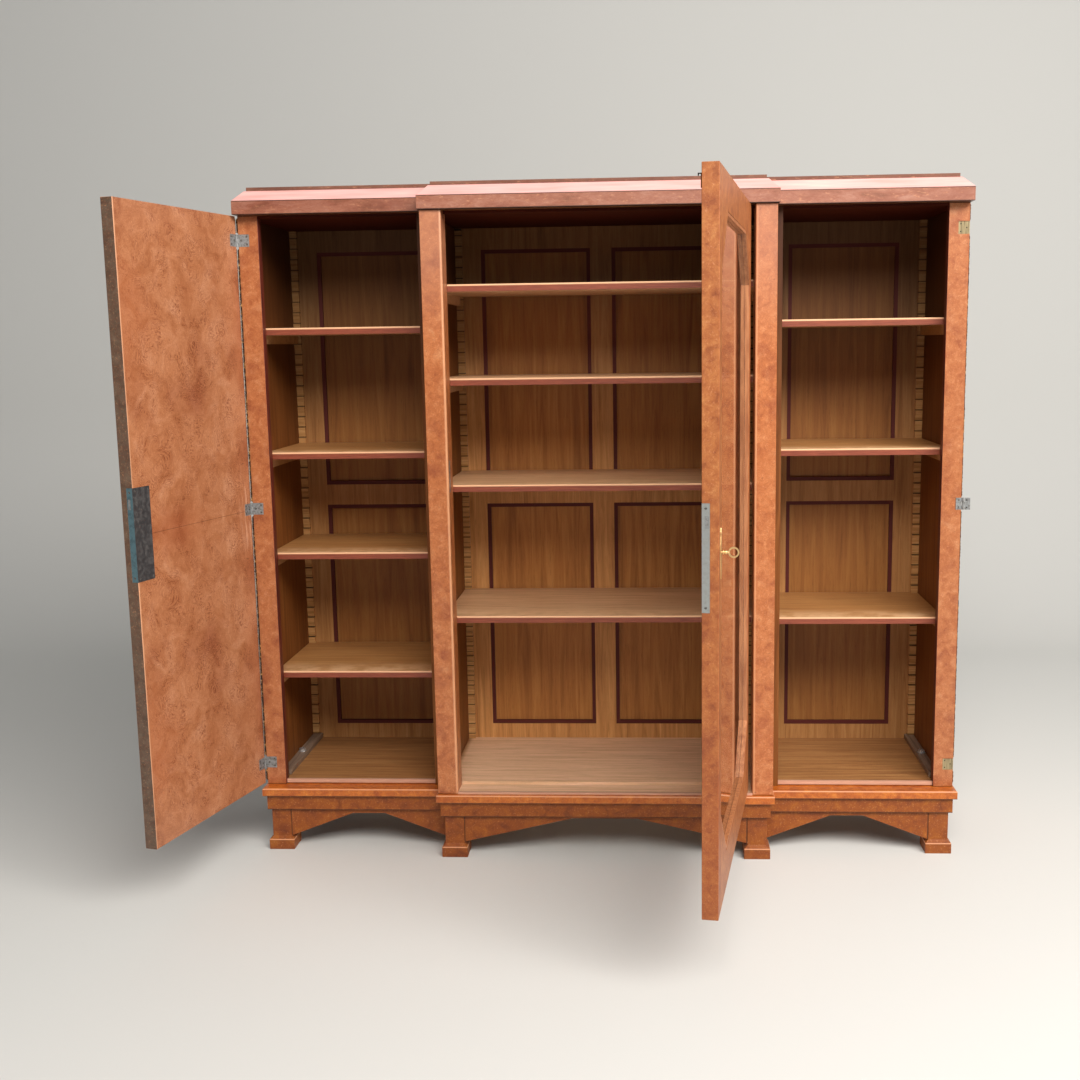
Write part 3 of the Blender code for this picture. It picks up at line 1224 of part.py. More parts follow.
def make_key(carrier, x, case_front):
    axis = carrier_at("key_axis", (x, case_front, KEY_Z), 0, carrier)
    bow_y = POST_FRONT_Y - KEY_BOW_OUT
    bow = collar(circle(bow_y, KEY_Z, KEY_BOW_R, BOW_SIDES),
                 circle(bow_y, KEY_Z, KEY_BOW_HOLE_R, BOW_SIDES), "x",
                 x - KEY_BOW_HALF_THICKNESS, x + KEY_BOW_HALF_THICKNESS)
    bit_front = case_front + KEY_BIT_FRONT_SET
    shank = rod("y", x, KEY_Z, KEY_SHANK_R, bow_y + KEY_BOW_HOLE_R + BITE,
                case_front + KEY_TAIL)
    bit = cuboid(x - KEY_BIT_HALF, x + KEY_BIT_HALF, bit_front, bit_front + KEY_BIT_LENGTH,
                 KEY_Z - KEY_BIT_DROP, KEY_Z)
    piece("key", bow, BRASS, joins=[shank, bit], carrier=axis, roughness=0.3, metallic=1)


def make_hook(carrier):
    """Small catch near the top of the free stile, on its inner face."""
    root = POST_FRONT_Y + CENTRE_DOOR_THICKNESS + REST_GAP
    tip = root + HOOK_REACH
    neck_z = HOOK_TOP_Z - HOOK_PLATE
    outline = [(root, HOOK_BOTTOM_Z), (root + HOOK_PLATE, HOOK_BOTTOM_Z),
               (root + HOOK_PLATE, neck_z), (tip - HOOK_PLATE, neck_z),
               (tip - HOOK_PLATE, neck_z - HOOK_LIP), (tip, neck_z - HOOK_LIP),
               (tip, HOOK_TOP_Z), (root, HOOK_TOP_Z)]
    piece("catch_hook", prism(outline, "x", HOOK_X - HOOK_HALF_WIDTH,
                              HOOK_X + HOOK_HALF_WIDTH), STEEL, carrier=carrier,
          roughness=0.5, metallic=1)


def make_centre_door():
    pivot = (PIVOT_X, PIVOT_Y, CENTRE_DOOR_BOTTOM_Z)
    carrier = carrier_at("centre_door_axis", pivot, CENTRE_DOOR_OPEN_DEG)
    make_centre_frame(carrier)
    make_centre_glazing(carrier)
    make_centre_lock(carrier)
    make_hook(carrier)


clear_file()
make_front_legs()
make_aprons()
make_band()
make_ledge()
make_uprights()
make_stiles()
make_keeper()
make_case_bottom()
make_case_top()
make_back()
make_shelves()
make_battens()
make_bolts()
make_cornice()
make_fixed_leaves()
make_loose_leaf()
make_left_door()
make_centre_door()
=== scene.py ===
import math

import bmesh
import bpy
import numpy as np
from mathutils import Matrix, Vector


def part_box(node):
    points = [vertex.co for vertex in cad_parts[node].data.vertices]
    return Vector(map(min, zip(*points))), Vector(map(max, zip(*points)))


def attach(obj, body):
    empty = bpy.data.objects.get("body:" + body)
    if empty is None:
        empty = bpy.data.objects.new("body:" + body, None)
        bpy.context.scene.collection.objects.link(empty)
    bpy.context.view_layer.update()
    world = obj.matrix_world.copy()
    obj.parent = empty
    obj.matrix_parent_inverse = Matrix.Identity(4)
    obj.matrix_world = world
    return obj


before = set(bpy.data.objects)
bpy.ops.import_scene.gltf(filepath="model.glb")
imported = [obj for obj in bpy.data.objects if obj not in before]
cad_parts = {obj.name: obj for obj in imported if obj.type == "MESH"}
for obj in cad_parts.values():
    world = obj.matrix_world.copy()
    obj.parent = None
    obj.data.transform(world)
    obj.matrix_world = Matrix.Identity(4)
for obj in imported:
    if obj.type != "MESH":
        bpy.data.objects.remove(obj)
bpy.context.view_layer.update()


# Legs, aprons and base band. Softwood faced with burr veneer, sawn across the
# knots of the root, so the figure is clouds and small dark eyes, not stripes.
# French polished: a thin hard gloss over wood that itself is matt.

def linear(code):
    """sRGB hex colour as linear RGBA, by the sRGB curve."""
    parts = [int(code[i:i + 2], 16) / 255 for i in (1, 3, 5)]
    return [v / 12.92 if v <= 0.04045 else ((v + 0.055) / 1.055) ** 2.4 for v in parts] + [1]


def add(tree, kind, inputs=None, **settings):
    """Add one shader node; an input is a plain value or another node's output."""
    made = tree.nodes.new("ShaderNode" + kind)
    for key, value in settings.items():
        setattr(made, key, value)
    for key, value in (inputs or {}).items():
        if isinstance(value, bpy.types.NodeSocket):
            tree.links.new(value, made.inputs[key])
        else:
            made.inputs[key].default_value = value
    return made


def new_material(name):
    made = bpy.data.materials.new(name)
    made.use_nodes = True
    made.node_tree.nodes.clear()
    return made, made.node_tree


def tones(tree, value, stops):
    """Colour ramp over stops of (position, sRGB hex)."""
    ramp = add(tree, "ValToRGB", {0: value})
    elements = ramp.color_ramp.elements
    while len(elements) < len(stops):
        elements.new(0.5)
    for element, (place, code) in zip(elements, stops):
        element.position = place
        element.color = linear(code)
    return ramp.outputs[0]


def blend(tree, amount, below, above, mode="MIX"):
    mixed = add(tree, "Mix", {0: amount, 6: below, 7: above}, data_type="RGBA",
                blend_type=mode)
    return mixed.outputs[2]


def span(tree, value, low, high, to_low=0.0, to_high=1.0):
    """Map a value's low..high to to_low..to_high, clamped and smooth."""
    ranged = add(tree, "MapRange", {0: value, 1: low, 2: high, 3: to_low, 4: to_high},
                 interpolation_type="SMOOTHSTEP")
    return ranged.outputs[0]


def noise(tree, where, size_mm, detail=4, roughness=0.55, distortion=0.0):
    """Noise whose clouds are about size_mm across."""
    return add(tree, "TexNoise", {"Vector": where, "Scale": 1000 / size_mm,
                                  "Detail": detail, "Roughness": roughness,
                                  "Distortion": distortion})


def burr_colour(tree, where, stops, cloud_mm, swirl, eyes, red, rings=0.3):
    """Burr veneer: swirled clouds, growth lines round them, mottling and dark eyes.

    The growth lines are the crests of a sine of the cloud value.
    """
    drift = add(tree, "VectorMath", {0: noise(tree, where, cloud_mm * 1.3, 3).outputs[1],
                                     1: (0.5, 0.5, 0.5)}, operation="SUBTRACT")
    push = add(tree, "VectorMath", {0: drift.outputs[0], 3: swirl * cloud_mm / 1000},
               operation="SCALE")
    bent = add(tree, "VectorMath", {0: where, 1: push.outputs[0]}).outputs[0]
    clouds = noise(tree, bent, cloud_mm, 7, 0.62, 0.6).outputs[0]
    colour = tones(tree, clouds, stops)
    wave = add(tree, "Math", {0: clouds, 1: 125.0}, operation="MULTIPLY").outputs[0]
    crest = span(tree, add(tree, "Math", {0: wave}, operation="SINE").outputs[0], 0.1, 1.0,
                 0, rings)
    broken = span(tree, noise(tree, where, cloud_mm * 0.6, 3).outputs[0], 0.42, 0.6)
    crest = add(tree, "Math", {0: crest, 1: broken}, operation="MULTIPLY").outputs[0]
    colour = blend(tree, crest, colour, linear("#74331a"))
    mottle = span(tree, noise(tree, bent, 3.2, 4, 0.75).outputs[0], 0.38, 0.66, 0, 0.34)
    colour = blend(tree, mottle, colour, linear("#7a3412"))
    pale = span(tree, noise(tree, where, 5, 3, 0.7).outputs[0], 0.56, 0.7, 0, 0.3)
    colour = blend(tree, pale, colour, linear("#e3a478"))
    reds = span(tree, noise(tree, where, cloud_mm * 2.6, 2).outputs[0], 0.5, 0.72, 0, red)
    colour = blend(tree, reds, colour, linear("#a34a2a"), "MULTIPLY")
    pips = add(tree, "TexVoronoi", {"Vector": bent, "Scale": 1000 / 11, "Randomness": 1.0})
    near = span(tree, pips.outputs[0], 0.06, 0.24, 1, 0)
    flock = span(tree, noise(tree, where, 38, 2).outputs[0], 0.5, 0.66, 0, eyes)
    dots = add(tree, "Math", {0: near, 1: flock}, operation="MULTIPLY").outputs[0]
    return blend(tree, dots, colour, linear("#5c2812")), clouds


def polished(tree, colour, roughness, coat, bump_value=None, bump_mm=0.1, shine=0.5):
    """Principled wood under a thin clear coat, with a slight relief."""
    shader = add(tree, "BsdfPrincipled", {"Base Color": colour, "Roughness": roughness,
                                          "IOR": 1.5, "Coat Weight": coat,
                                          "Coat Roughness": 0.25,
                                          "Specular IOR Level": shine})
    if bump_value is not None:
        bump = add(tree, "Bump", {"Height": bump_value, "Distance": bump_mm / 1000,
                                  "Strength": 0.5})
        tree.links.new(bump.outputs[0], shader.inputs["Normal"])
    add(tree, "OutputMaterial", {0: shader.outputs[0]})


def object_place(tree, shift=(0, 0, 0), scale=(1, 1, 1)):
    where = add(tree, "TexCoord").outputs["Object"]
    return add(tree, "Mapping", {0: where, 1: shift, 3: scale}).outputs[0]


BURR_STOPS = ((0.30, "#924c22"), (0.43, "#b0683a"), (0.55, "#c07644"), (0.70, "#cf8a5a"))


def burr_veneer(name, stops=BURR_STOPS, cloud_mm=38, swirl=1.1, eyes=0.55, red=0.35,
                shift=(0, 0, 0), squash=(1, 1, 1), roughness=0.42, coat=0.25, joints=(),
                arris_highlight=(), upright_shadows=(), tint="#ffffff", fades=(9.0, 10.0)):
    """Polished burr veneer; a tint yellows it below the heights over which it fades."""
    made, tree = new_material(name)
    where = object_place(tree, shift, squash)
    colour, clouds = burr_colour(tree, where, stops, cloud_mm, swirl, eyes, red)
    height = add(tree, "SeparateXYZ", {0: add(tree, "TexCoord").outputs["Object"]}).outputs[2]
    colour = blend(tree, span(tree, height, *fades, 1, 0), colour, linear(tint), "MULTIPLY")
    # Painted light: pale painted highlights along arrises at the listed heights, and dark
    # painted shadow lines at the joints and beside the legs.
    colour = paint_level_lines(tree, colour, arris_highlight, 0.75, "#e0a27a", 0.0022)
    colour = paint_level_lines(tree, colour, joints)
    colour = paint_level_lines(tree, colour, upright_shadows, reach=0.0034, axis=0)
    polished(tree, colour, roughness, coat, clouds, 0.06)
    return made


def paint_level_lines(tree, colour, levels, depth=0.8, code="#1c0c06", reach=0.0028, axis=2):
    """Tint wood within a millimetre or two of the given heights: with the dark code a
    painted shadow line in the joints, with a pale code a painted highlight along an
    arris. On axis 0 the levels are distances to either side of the middle."""
    place = add(tree, "SeparateXYZ", {0: add(tree, "TexCoord").outputs["Object"]})
    height = place.outputs[axis]
    if axis == 0:
        height = add(tree, "Math", {0: height}, operation="ABSOLUTE").outputs[0]
    for level in levels:
        away = add(tree, "Math", {0: height, 1: level}, operation="SUBTRACT").outputs[0]
        away = add(tree, "Math", {0: away}, operation="ABSOLUTE").outputs[0]
        colour = blend(tree, span(tree, away, reach * 0.3, reach, depth, 0), colour,
                       linear(code))
    return colour


def finish(node_names, material):
    """Give CAD nodes one material."""
    for name in node_names:
        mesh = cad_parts[name].data
        mesh.materials.clear()
        mesh.materials.append(material)


def face_centres(mesh):
    """Centre and normal of every face, as arrays."""
    centre = np.zeros(len(mesh.polygons) * 3)
    normal = np.zeros(len(mesh.polygons) * 3)
    mesh.polygons.foreach_get("center", centre)
    mesh.polygons.foreach_get("normal", normal)
    return centre.reshape(-1, 3), normal.reshape(-1, 3)


def finish_faces(name, material, chosen):
    """Give the chosen faces of a CAD node their own material."""
    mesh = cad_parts[name].data
    mesh.materials.append(material)
    index = np.zeros(len(mesh.polygons), dtype=np.int32)
    mesh.polygons.foreach_get("material_index", index)
    index[chosen] = len(mesh.materials) - 1
    mesh.polygons.foreach_set("material_index", index)


BASE_STOPS = ((0.30, "#733504"), (0.45, "#8c4607"), (0.58, "#98510b"), (0.72, "#a75f11"))
BASE_YELLOW = "#fffde0"
LEG_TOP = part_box("leg_left")[1][2]
BAND_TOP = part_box("base_band")[1][2]
LEDGE_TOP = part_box("base_ledge")[1][2]
PAD_TOP = 0.039
# Painted light on the base: dark painted shadow lines where legs, aprons and band meet, and a
# pale painted highlight along the pad's arris low on the legs.
base_burr = burr_veneer("burr_veneer_base", BASE_STOPS, 30, eyes=0.5, roughness=0.6,
                        coat=0.08, joints=(LEG_TOP,),
                        arris_highlight=(PAD_TOP - 0.0085,))
finish(["leg_left", "leg_centre_left", "leg_centre_right", "leg_right"], base_burr)
apron_ends = [abs(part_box("apron_left")[0][0]), abs(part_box("apron_left")[1][0]),
              abs(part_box("apron_centre")[1][0])]
finish(["apron_left", "apron_centre", "apron_right"],
       burr_veneer("burr_veneer_aprons", BASE_STOPS, 30, shift=(0.4, 0, 0.2),
                   roughness=0.6, coat=0.08, joints=(LEG_TOP,), upright_shadows=apron_ends,
                   tint=BASE_YELLOW))
finish(["base_band"], burr_veneer("burr_veneer_band", BASE_STOPS, 26, shift=(0.9, 0.2, 0),
                                  roughness=0.6, coat=0.08,
                                  joints=(LEG_TOP, BAND_TOP), tint=BASE_YELLOW))

# Ledge moulding. A solid strip of the same wood, with a painted highlight along the top
# arris of its nose and a painted shadow line along its foot.
finish(["base_ledge"], burr_veneer("burr_veneer_ledge", (
    (0.30, "#a34e13"), (0.45, "#be641e"), (0.58, "#cb7226"), (0.72, "#db873b")), 24,
    shift=(0.1, 0.5, 0.3), joints=(BAND_TOP,), arris_highlight=(LEDGE_TOP - 0.0024,),
    tint=BASE_YELLOW))

# Outer stiles and centre posts. Burr veneer in short lengths on softwood, the figure finer
# than on the door, with painted shadow lines at foot and head; the inner edges are stained dark
# red, and painted shade darkens them further.
POST_STOPS = ((0.30, "#a15529"), (0.44, "#b66937"), (0.57, "#c27643"), (0.72, "#ce8b5a"))
STILE_STOPS = ((0.30, "#98522a"), (0.44, "#ac6538"), (0.57, "#b77244"), (0.72, "#c3865c"))
CASE_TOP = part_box("post_left")[1][2]
finish(["stile_left", "stile_right"],
       burr_veneer("burr_veneer_stiles", STILE_STOPS, 24, shift=(0.3, 0.1, 0.7),
                   joints=(LEDGE_TOP, CASE_TOP)))
post_burr, tree = new_material("burr_veneer_posts")
colour, clouds = burr_colour(tree, object_place(tree, (0.6, 0.4, 0.2)), POST_STOPS, 24, 1.1,
                             0.55, 0.35)
place = add(tree, "SeparateXYZ", {0: add(tree, "TexCoord").outputs["Object"]})
across = add(tree, "Math", {0: place.outputs[0]}, operation="ABSOLUTE").outputs[0]
(post_inner, post_front, _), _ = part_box("post_right")
# Painted highlight: the posts' rounded inner front arris is paled as if catching the light.
inner_edge = span(tree, across, post_inner + 0.003, post_inner + 0.008, 0.75, 0)
front_edge = span(tree, place.outputs[1], post_front + 0.004, post_front + 0.009, 1, 0)
arris_highlight = add(tree, "Math", {0: inner_edge, 1: front_edge}, operation="MULTIPLY").outputs[0]
colour = blend(tree, arris_highlight, colour, linear("#e2a478"))
faded = span(tree, place.outputs[2], 1.45, 1.8, 0, 0.35)
colour = blend(tree, faded, colour, linear("#b0826e"))
polished(tree, paint_level_lines(tree, colour, (LEDGE_TOP, CASE_TOP)), 0.42, 0.25, clouds, 0.06)
finish(["post_left", "post_right"], post_burr)
# The stiles' inner faces: dark red stain, made darker still by painted shade of the bays.
red_edge, tree = new_material("dark_red_stain_and_shade_edge")
grain = noise(tree, object_place(tree, scale=(1, 1, 0.1)), 12, 4).outputs[0]
polished(tree, tones(tree, grain, ((0.35, "#4a1710"), (0.65, "#6b281a"))), 0.5, 0.1)
for stile_name, inward in (("stile_left", 1), ("stile_right", -1)):
    centre, normal = face_centres(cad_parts[stile_name].data)
    finish_faces(stile_name, red_edge, inward * normal[:, 0] > 0.6)

# Cornice. The fascia is faced with burr laid lengthways; the chamfer above it is
# bleached by daylight, and the set-back top board is bare wood brown with dust.
# Painted shadow lines along the top and bottom edges of the fascia.
finish(["cornice_fascia"], burr_veneer("burr_veneer_fascia", (
    (0.30, "#82503a"), (0.45, "#98604a"), (0.58, "#a16c57"), (0.72, "#ac7b68")), 26,
    shift=(0.7, 0.3, 0.1), squash=(0.3, 1, 1), eyes=0.3,
    joints=(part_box("cornice_fascia")[0][2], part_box("cornice_fascia")[1][2])))
bleached, tree = new_material("bleached_veneer_chamfer")
streaks = noise(tree, object_place(tree, scale=(0.08, 1, 1)), 14, 4).outputs[0]
colour = tones(tree, streaks, ((0.3, "#dda299"), (0.45, "#e7ada7"), (0.6, "#ecb6b0"),
                               (0.75, "#f3c3b8")))
polished(tree, colour, 0.6, 0.05)
finish(["cornice_chamfer"], bleached)
finish(["cornice_top_board"], burr_veneer("dusty_brown_top_board", (
    (0.30, "#5f3d30"), (0.45, "#70493a"), (0.58, "#7c5544"), (0.72, "#8c6653")), 30,
    eyes=0.2, red=0.1, shift=(0.2, 0.3, 0.9), squash=(0.2, 1, 1), roughness=0.7, coat=0.0))


# Case sides, dividers, back, top, bottom. Oak boards, waxed: straight grain
# with short dark pores lying along it, yellow brown, darkened by painted shade towards the top
# and in the side bays.

def oak_colour(tree, where, along, stops, band_mm=14, pore=0.35):
    """Oak: bands stretched along the grain, and fine dark pores in the bands."""
    stretch = [1.0, 1.0, 1.0]
    stretch["xyz".index(along)] = 0.05
    bands = add(tree, "Mapping", {0: where, 3: stretch}).outputs[0]
    wide = noise(tree, bands, band_mm, 5, 0.6, 0.8).outputs[0]
    colour = tones(tree, wide, stops)
    stretch["xyz".index(along)] = 0.035
    fine = add(tree, "Mapping", {0: where, 3: stretch}).outputs[0]
    lines = noise(tree, fine, 1.6, 3, 0.7).outputs[0]
    pores = span(tree, lines, 0.56, 0.7, 0, pore)
    return blend(tree, pores, colour, linear("#4a2c14")), lines


OAK_STOPS = ((0.28, "#633411"), (0.45, "#77441a"), (0.58, "#814d21"), (0.74, "#8c592b"))
# Painted shade under the case top: interior wood is darkened towards this colour from the first
# height up to the second.
TOP_SHADE_COLOUR, TOP_SHADE_FROM, TOP_SHADE_TO = "#240a03", 0.95, 1.88


def waxed_oak(name, along, stops=OAK_STOPS, shift=(0, 0, 0), roughness=0.55, band_mm=14,
              pore=0.35, top_shade=0.0, shine=0.5, bay_shade=0.0):
    """Waxed oak. Painted shade darkens it towards the top of the case by the given amount,
    more in the side bays, and bay_shade paints those darker all the way down."""
    made, tree = new_material(name)
    where = object_place(tree, shift)
    colour, lines = oak_colour(tree, where, along, stops, band_mm, pore)
    if top_shade:
        place = add(tree, "SeparateXYZ", {0: add(tree, "TexCoord").outputs["Object"]})
        across = add(tree, "Math", {0: place.outputs[0]}, operation="ABSOLUTE").outputs[0]
        bay = span(tree, across, 0.46, 0.5, 1, 1.15)
        shade = span(tree, across, 0.46, 0.5, 0, bay_shade)
        colour = blend(tree, shade, colour, linear("#2e1004"))
        painted_top_shade = span(tree, place.outputs[2], TOP_SHADE_FROM, TOP_SHADE_TO, 0, top_shade)
        painted_top_shade = add(tree, "Math", {0: painted_top_shade, 1: bay}, operation="MULTIPLY").outputs[0]
        colour = blend(tree, painted_top_shade, colour, linear(TOP_SHADE_COLOUR))
    polished(tree, colour, roughness, 0.0 if top_shade else 0.08, lines, 0.05, shine)
    return made


# Painted shade darkens the sides and dividers towards the top.
upright_oak = waxed_oak("waxed_oak_upright", "z", top_shade=0.7, shine=0.25)
rack_oak, tree = new_material("waxed_oak_racks")
where = object_place(tree)
colour, lines = oak_colour(tree, where, "x", (
    (0.28, "#a37242"), (0.45, "#c49058"), (0.58, "#d3a167"), (0.74, "#e0b27a")), 9)
RACK_REACH, RACK_FRONT, RACK_BACK = 0.9919, -0.373, 0.0163
centre, normal = face_centres(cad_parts["side_left"].data)
seats = (centre[:, 0] > -RACK_REACH) & (centre[:, 1] < RACK_BACK) & (np.abs(normal[:, 2]) > 0.5)
seats &= (centre[:, 2] > 0.3) & (centre[:, 2] < 1.7) & (centre[:, 1] > RACK_FRONT)
seat_levels = np.unique(np.round(centre[seats, 2], 4))
TOOTH_PITCH = 0.0329
height = add(tree, "SeparateXYZ", {0: where}).outputs[2]
# Painted shadow: a dark line at each seat of the teeth, repeating at the tooth pitch.
for phase in np.unique(np.round(seat_levels % TOOTH_PITCH, 3)):
    shifted = add(tree, "Math", {0: height, 1: float(phase)}, operation="SUBTRACT").outputs[0]
    away = add(tree, "Math", {0: shifted, 1: TOOTH_PITCH}, operation="FLOORED_MODULO").outputs[0]
    away = add(tree, "Math", {0: away, 1: TOOTH_PITCH / 2}, operation="PINGPONG").outputs[0]
    colour = blend(tree, span(tree, away, 0.0007, 0.0028, 0.85, 0), colour, linear("#1f0f06"))
# Painted shade darkens the racks towards the top.
painted_top_shade = span(tree, height, TOP_SHADE_FROM, TOP_SHADE_TO, 0, 0.55)
polished(tree, blend(tree, painted_top_shade, colour, linear(TOP_SHADE_COLOUR)), 0.55, 0.0, lines, 0.05, 0.25)
# Painted shade: the level seat faces of the teeth are coloured almost black.
seat_shade, tree = new_material("painted_shade_rack_seats")
polished(tree, linear("#241208"), 0.8, 0.0)
finish(["divider_left", "divider_right"], upright_oak)
finish(["side_left", "side_right"], upright_oak)
for upright_name in ("side_left", "side_right", "divider_left", "divider_right"):
    centre, normal = face_centres(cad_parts[upright_name].data)
    out = np.abs(centre[:, 0])
    rack = (centre[:, 1] > RACK_FRONT) & (centre[:, 1] < RACK_BACK)
    rack &= (out < RACK_REACH) if upright_name.startswith("side") else (
        (out > 0.4896) | (out < 0.4679))
    finish_faces(upright_name, rack_oak, rack)
    finish_faces(upright_name, seat_shade, rack & (np.abs(normal[:, 2]) > 0.5))
for side_name in ("side_left", "side_right"):
    centre, normal = face_centres(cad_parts[side_name].data)
    finish_faces(side_name, burr_veneer("burr_veneer_" + side_name, cloud_mm=60),
                 np.abs(centre[:, 0]) > 1.0205)
# Painted shade: the case top is coloured almost black red, the shade beneath it.
finish(["case_top"], waxed_oak("waxed_oak_ceiling", "x", (
    (0.28, "#2e0902"), (0.45, "#3c0f03"), (0.58, "#441304"), (0.74, "#4d1805")),
    roughness=0.7, shine=0.1))
floor_oak, tree = new_material("waxed_oak_floor")
where = object_place(tree)
pale, lines = oak_colour(tree, where, "x", (
    (0.28, "#c89e7a"), (0.45, "#deb690"), (0.58, "#e9c09d"), (0.74, "#f1cbaa")), 14, 0.4)
tan, lines = oak_colour(tree, where, "x", (
    (0.28, "#875a34"), (0.45, "#9c6c40"), (0.58, "#a87848"), (0.74, "#b68756")), 14, 0.35)
across = add(tree, "SeparateXYZ", {0: where}).outputs[0]
across = add(tree, "Math", {0: across}, operation="ABSOLUTE").outputs[0]
in_side_bay = span(tree, across, 0.45, 0.47)
colour = blend(tree, in_side_bay, pale, tan)
corner = np.zeros(len(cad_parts["case_bottom"].data.vertices) * 3)
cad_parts["case_bottom"].data.vertices.foreach_get("co", corner)
corner = corner.reshape(-1, 3)
centre_front = corner[:, 1].min()
side_front = corner[np.abs(corner[:, 0]) > 0.7, 1].min()
board_front = add(tree, "MapRange", {0: in_side_bay, 3: float(centre_front),
                                     4: float(side_front)}).outputs[0]
depth = add(tree, "SeparateXYZ", {0: where}).outputs[1]
depth = add(tree, "Math", {0: depth, 1: board_front}, operation="SUBTRACT").outputs[0]
lipping = tones(tree, lines, ((0.3, "#c39078"), (0.7, "#dcae94")))
colour = blend(tree, span(tree, depth, 0.0105, 0.0115, 1, 0), colour, lipping)
seam = span(tree, add(tree, "Math", {0: depth, 1: 0.0115, 2: 0.0012}, operation="COMPARE")
            .outputs[0], 0, 1, 0, 0.7)
colour = blend(tree, seam, colour, linear("#3a2416"))
polished(tree, colour, 0.55, 0.08, lines, 0.05)
finish(["case_bottom"], floor_oak)
finish(["cornice_soffit"], waxed_oak("waxed_oak_soffit", "x"))
# Painted shade darkens the back towards the top, and all the way down in the side bays.
finish(["back_frame"], waxed_oak("waxed_oak_back_frame", "z", (
    (0.28, "#a67140"), (0.45, "#c48b51"), (0.58, "#d0985c"), (0.74, "#dfa86b")),
    top_shade=0.6, shine=0.3, bay_shade=0.28))
finish(["back_panel"], waxed_oak("waxed_oak_back_panel", "z", (
    (0.28, "#96602f"), (0.45, "#b0743b"), (0.58, "#bb8042"), (0.74, "#c88d4e")), band_mm=20,
    top_shade=0.45, shine=0.3, bay_shade=0.28))

# Beads round the back panels. Worked on the frame and stained almost black red;
# a bead is the faces of the shallow step round each opening.
bead_stain, tree = new_material("dark_red_stained_bead")
polished(tree, linear("#55150e"), 0.7, 0.0)
centre, normal = face_centres(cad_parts["back_frame"].data)
frame_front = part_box("back_frame")[0][1]
in_step = (centre[:, 1] > frame_front + 0.0002) & (centre[:, 1] < frame_front + 0.0094)
finish_faces("back_frame", bead_stain, in_step & (np.abs(centre[:, 0]) < 0.985)
             & (centre[:, 2] > 0.21) & (centre[:, 2] < 1.85))

# Shelves. Loose oak boards with a reddish hardwood lipping on the front edge,
# and a cleat under each end that sits in the toothed racks.
PALE_OAK = ((0.28, "#b1855e"), (0.45, "#c99c72"), (0.58, "#d4a880"), (0.74, "#dfb68f"))
TAN_OAK = ((0.28, "#97653a"), (0.45, "#ac7844"), (0.58, "#b6844e"), (0.74, "#c4935e"))
shelf_names = [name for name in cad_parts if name.startswith("shelf_")]
for number, name in enumerate(sorted(shelf_names)):
    low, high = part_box(name)
    made, tree = new_material("waxed_oak_" + name)
    where = object_place(tree, (0.37 * number, 0.11 * number, 0))
    colour, lines = oak_colour(tree, where, "x", PALE_OAK if "centre" in name else TAN_OAK)
    place = add(tree, "SeparateXYZ", {0: add(tree, "TexCoord").outputs["Object"]})
    front = add(tree, "Math", {0: place.outputs[1], 1: low[1] + 0.004},
                operation="LESS_THAN").outputs[0]
    lip_grain = tones(tree, lines, ((0.3, "#6e2f1c"), (0.7, "#94492f")))
    # Painted highlight along the top arris of the lipping.
    arris_highlight = span(tree, place.outputs[2], high[2] - 0.0058, high[2] - 0.0028, 0, 0.95)
    lip_grain = blend(tree, arris_highlight, lip_grain, linear("#f2bf94"))
    # Painted light: a pale pool over the front of the top, fading back over 13 cm with a ragged
    # edge.
    pale_band = span(tree, place.outputs[1], low[1] + 0.01, low[1] + 0.13, 0.8, 0)
    ragged = span(tree, noise(tree, where, 60, 4, 0.6).outputs[0], 0.35, 0.6, 0.3, 1)
    pale_band = add(tree, "Math", {0: pale_band, 1: ragged}, operation="MULTIPLY").outputs[0]
    colour = blend(tree, pale_band, colour, linear("#e9bd90"))
    colour = blend(tree, front, colour, lip_grain)
    polished(tree, colour, 0.5, 0.12, lines, 0.05)
    finish([name], made)

# Floor battens and the knock-down bolts through them. Unpolished softwood gone
# grey, and turned steel heads rubbed bright.
finish(["batten_left", "batten_right"], waxed_oak("grey_softwood", "y", (
    (0.28, "#5a4a3e"), (0.45, "#776253"), (0.58, "#8a7462"), (0.74, "#9b8571"))))


def metal(name, code, roughness, spots_mm, spot_code, amount, metallic=1.0):
    """Bare metal with faint cloudy tarnish; the tarnish is also rougher."""
    made, tree = new_material(name)
    where = object_place(tree)
    cloud = span(tree, noise(tree, where, spots_mm, 5, 0.65).outputs[0], 0.42, 0.66, 0,
                 amount)
    colour = blend(tree, cloud, linear(code), linear(spot_code))
    rough = add(tree, "Math", {0: cloud, 1: 0.35, 2: roughness}, operation="MULTIPLY_ADD")
    shader = add(tree, "BsdfPrincipled", {"Base Color": colour, "Metallic": metallic,
                                          "Roughness": rough.outputs[0]})
    add(tree, "OutputMaterial", {0: shader.outputs[0]})
    return made


aged_steel = metal("aged_steel", "#9c9fa0", 0.42, 9, "#66605b", 0.7, 0.6)
dark_steel = metal("browned_steel", "#424143", 0.5, 12, "#62605f", 0.7, 0.4)
finish(["knock_down_bolt_left", "knock_down_bolt_right"],
       metal("bright_turned_steel", "#d0d0d0", 0.25, 6, "#4a4643", 0.5, 0.7))

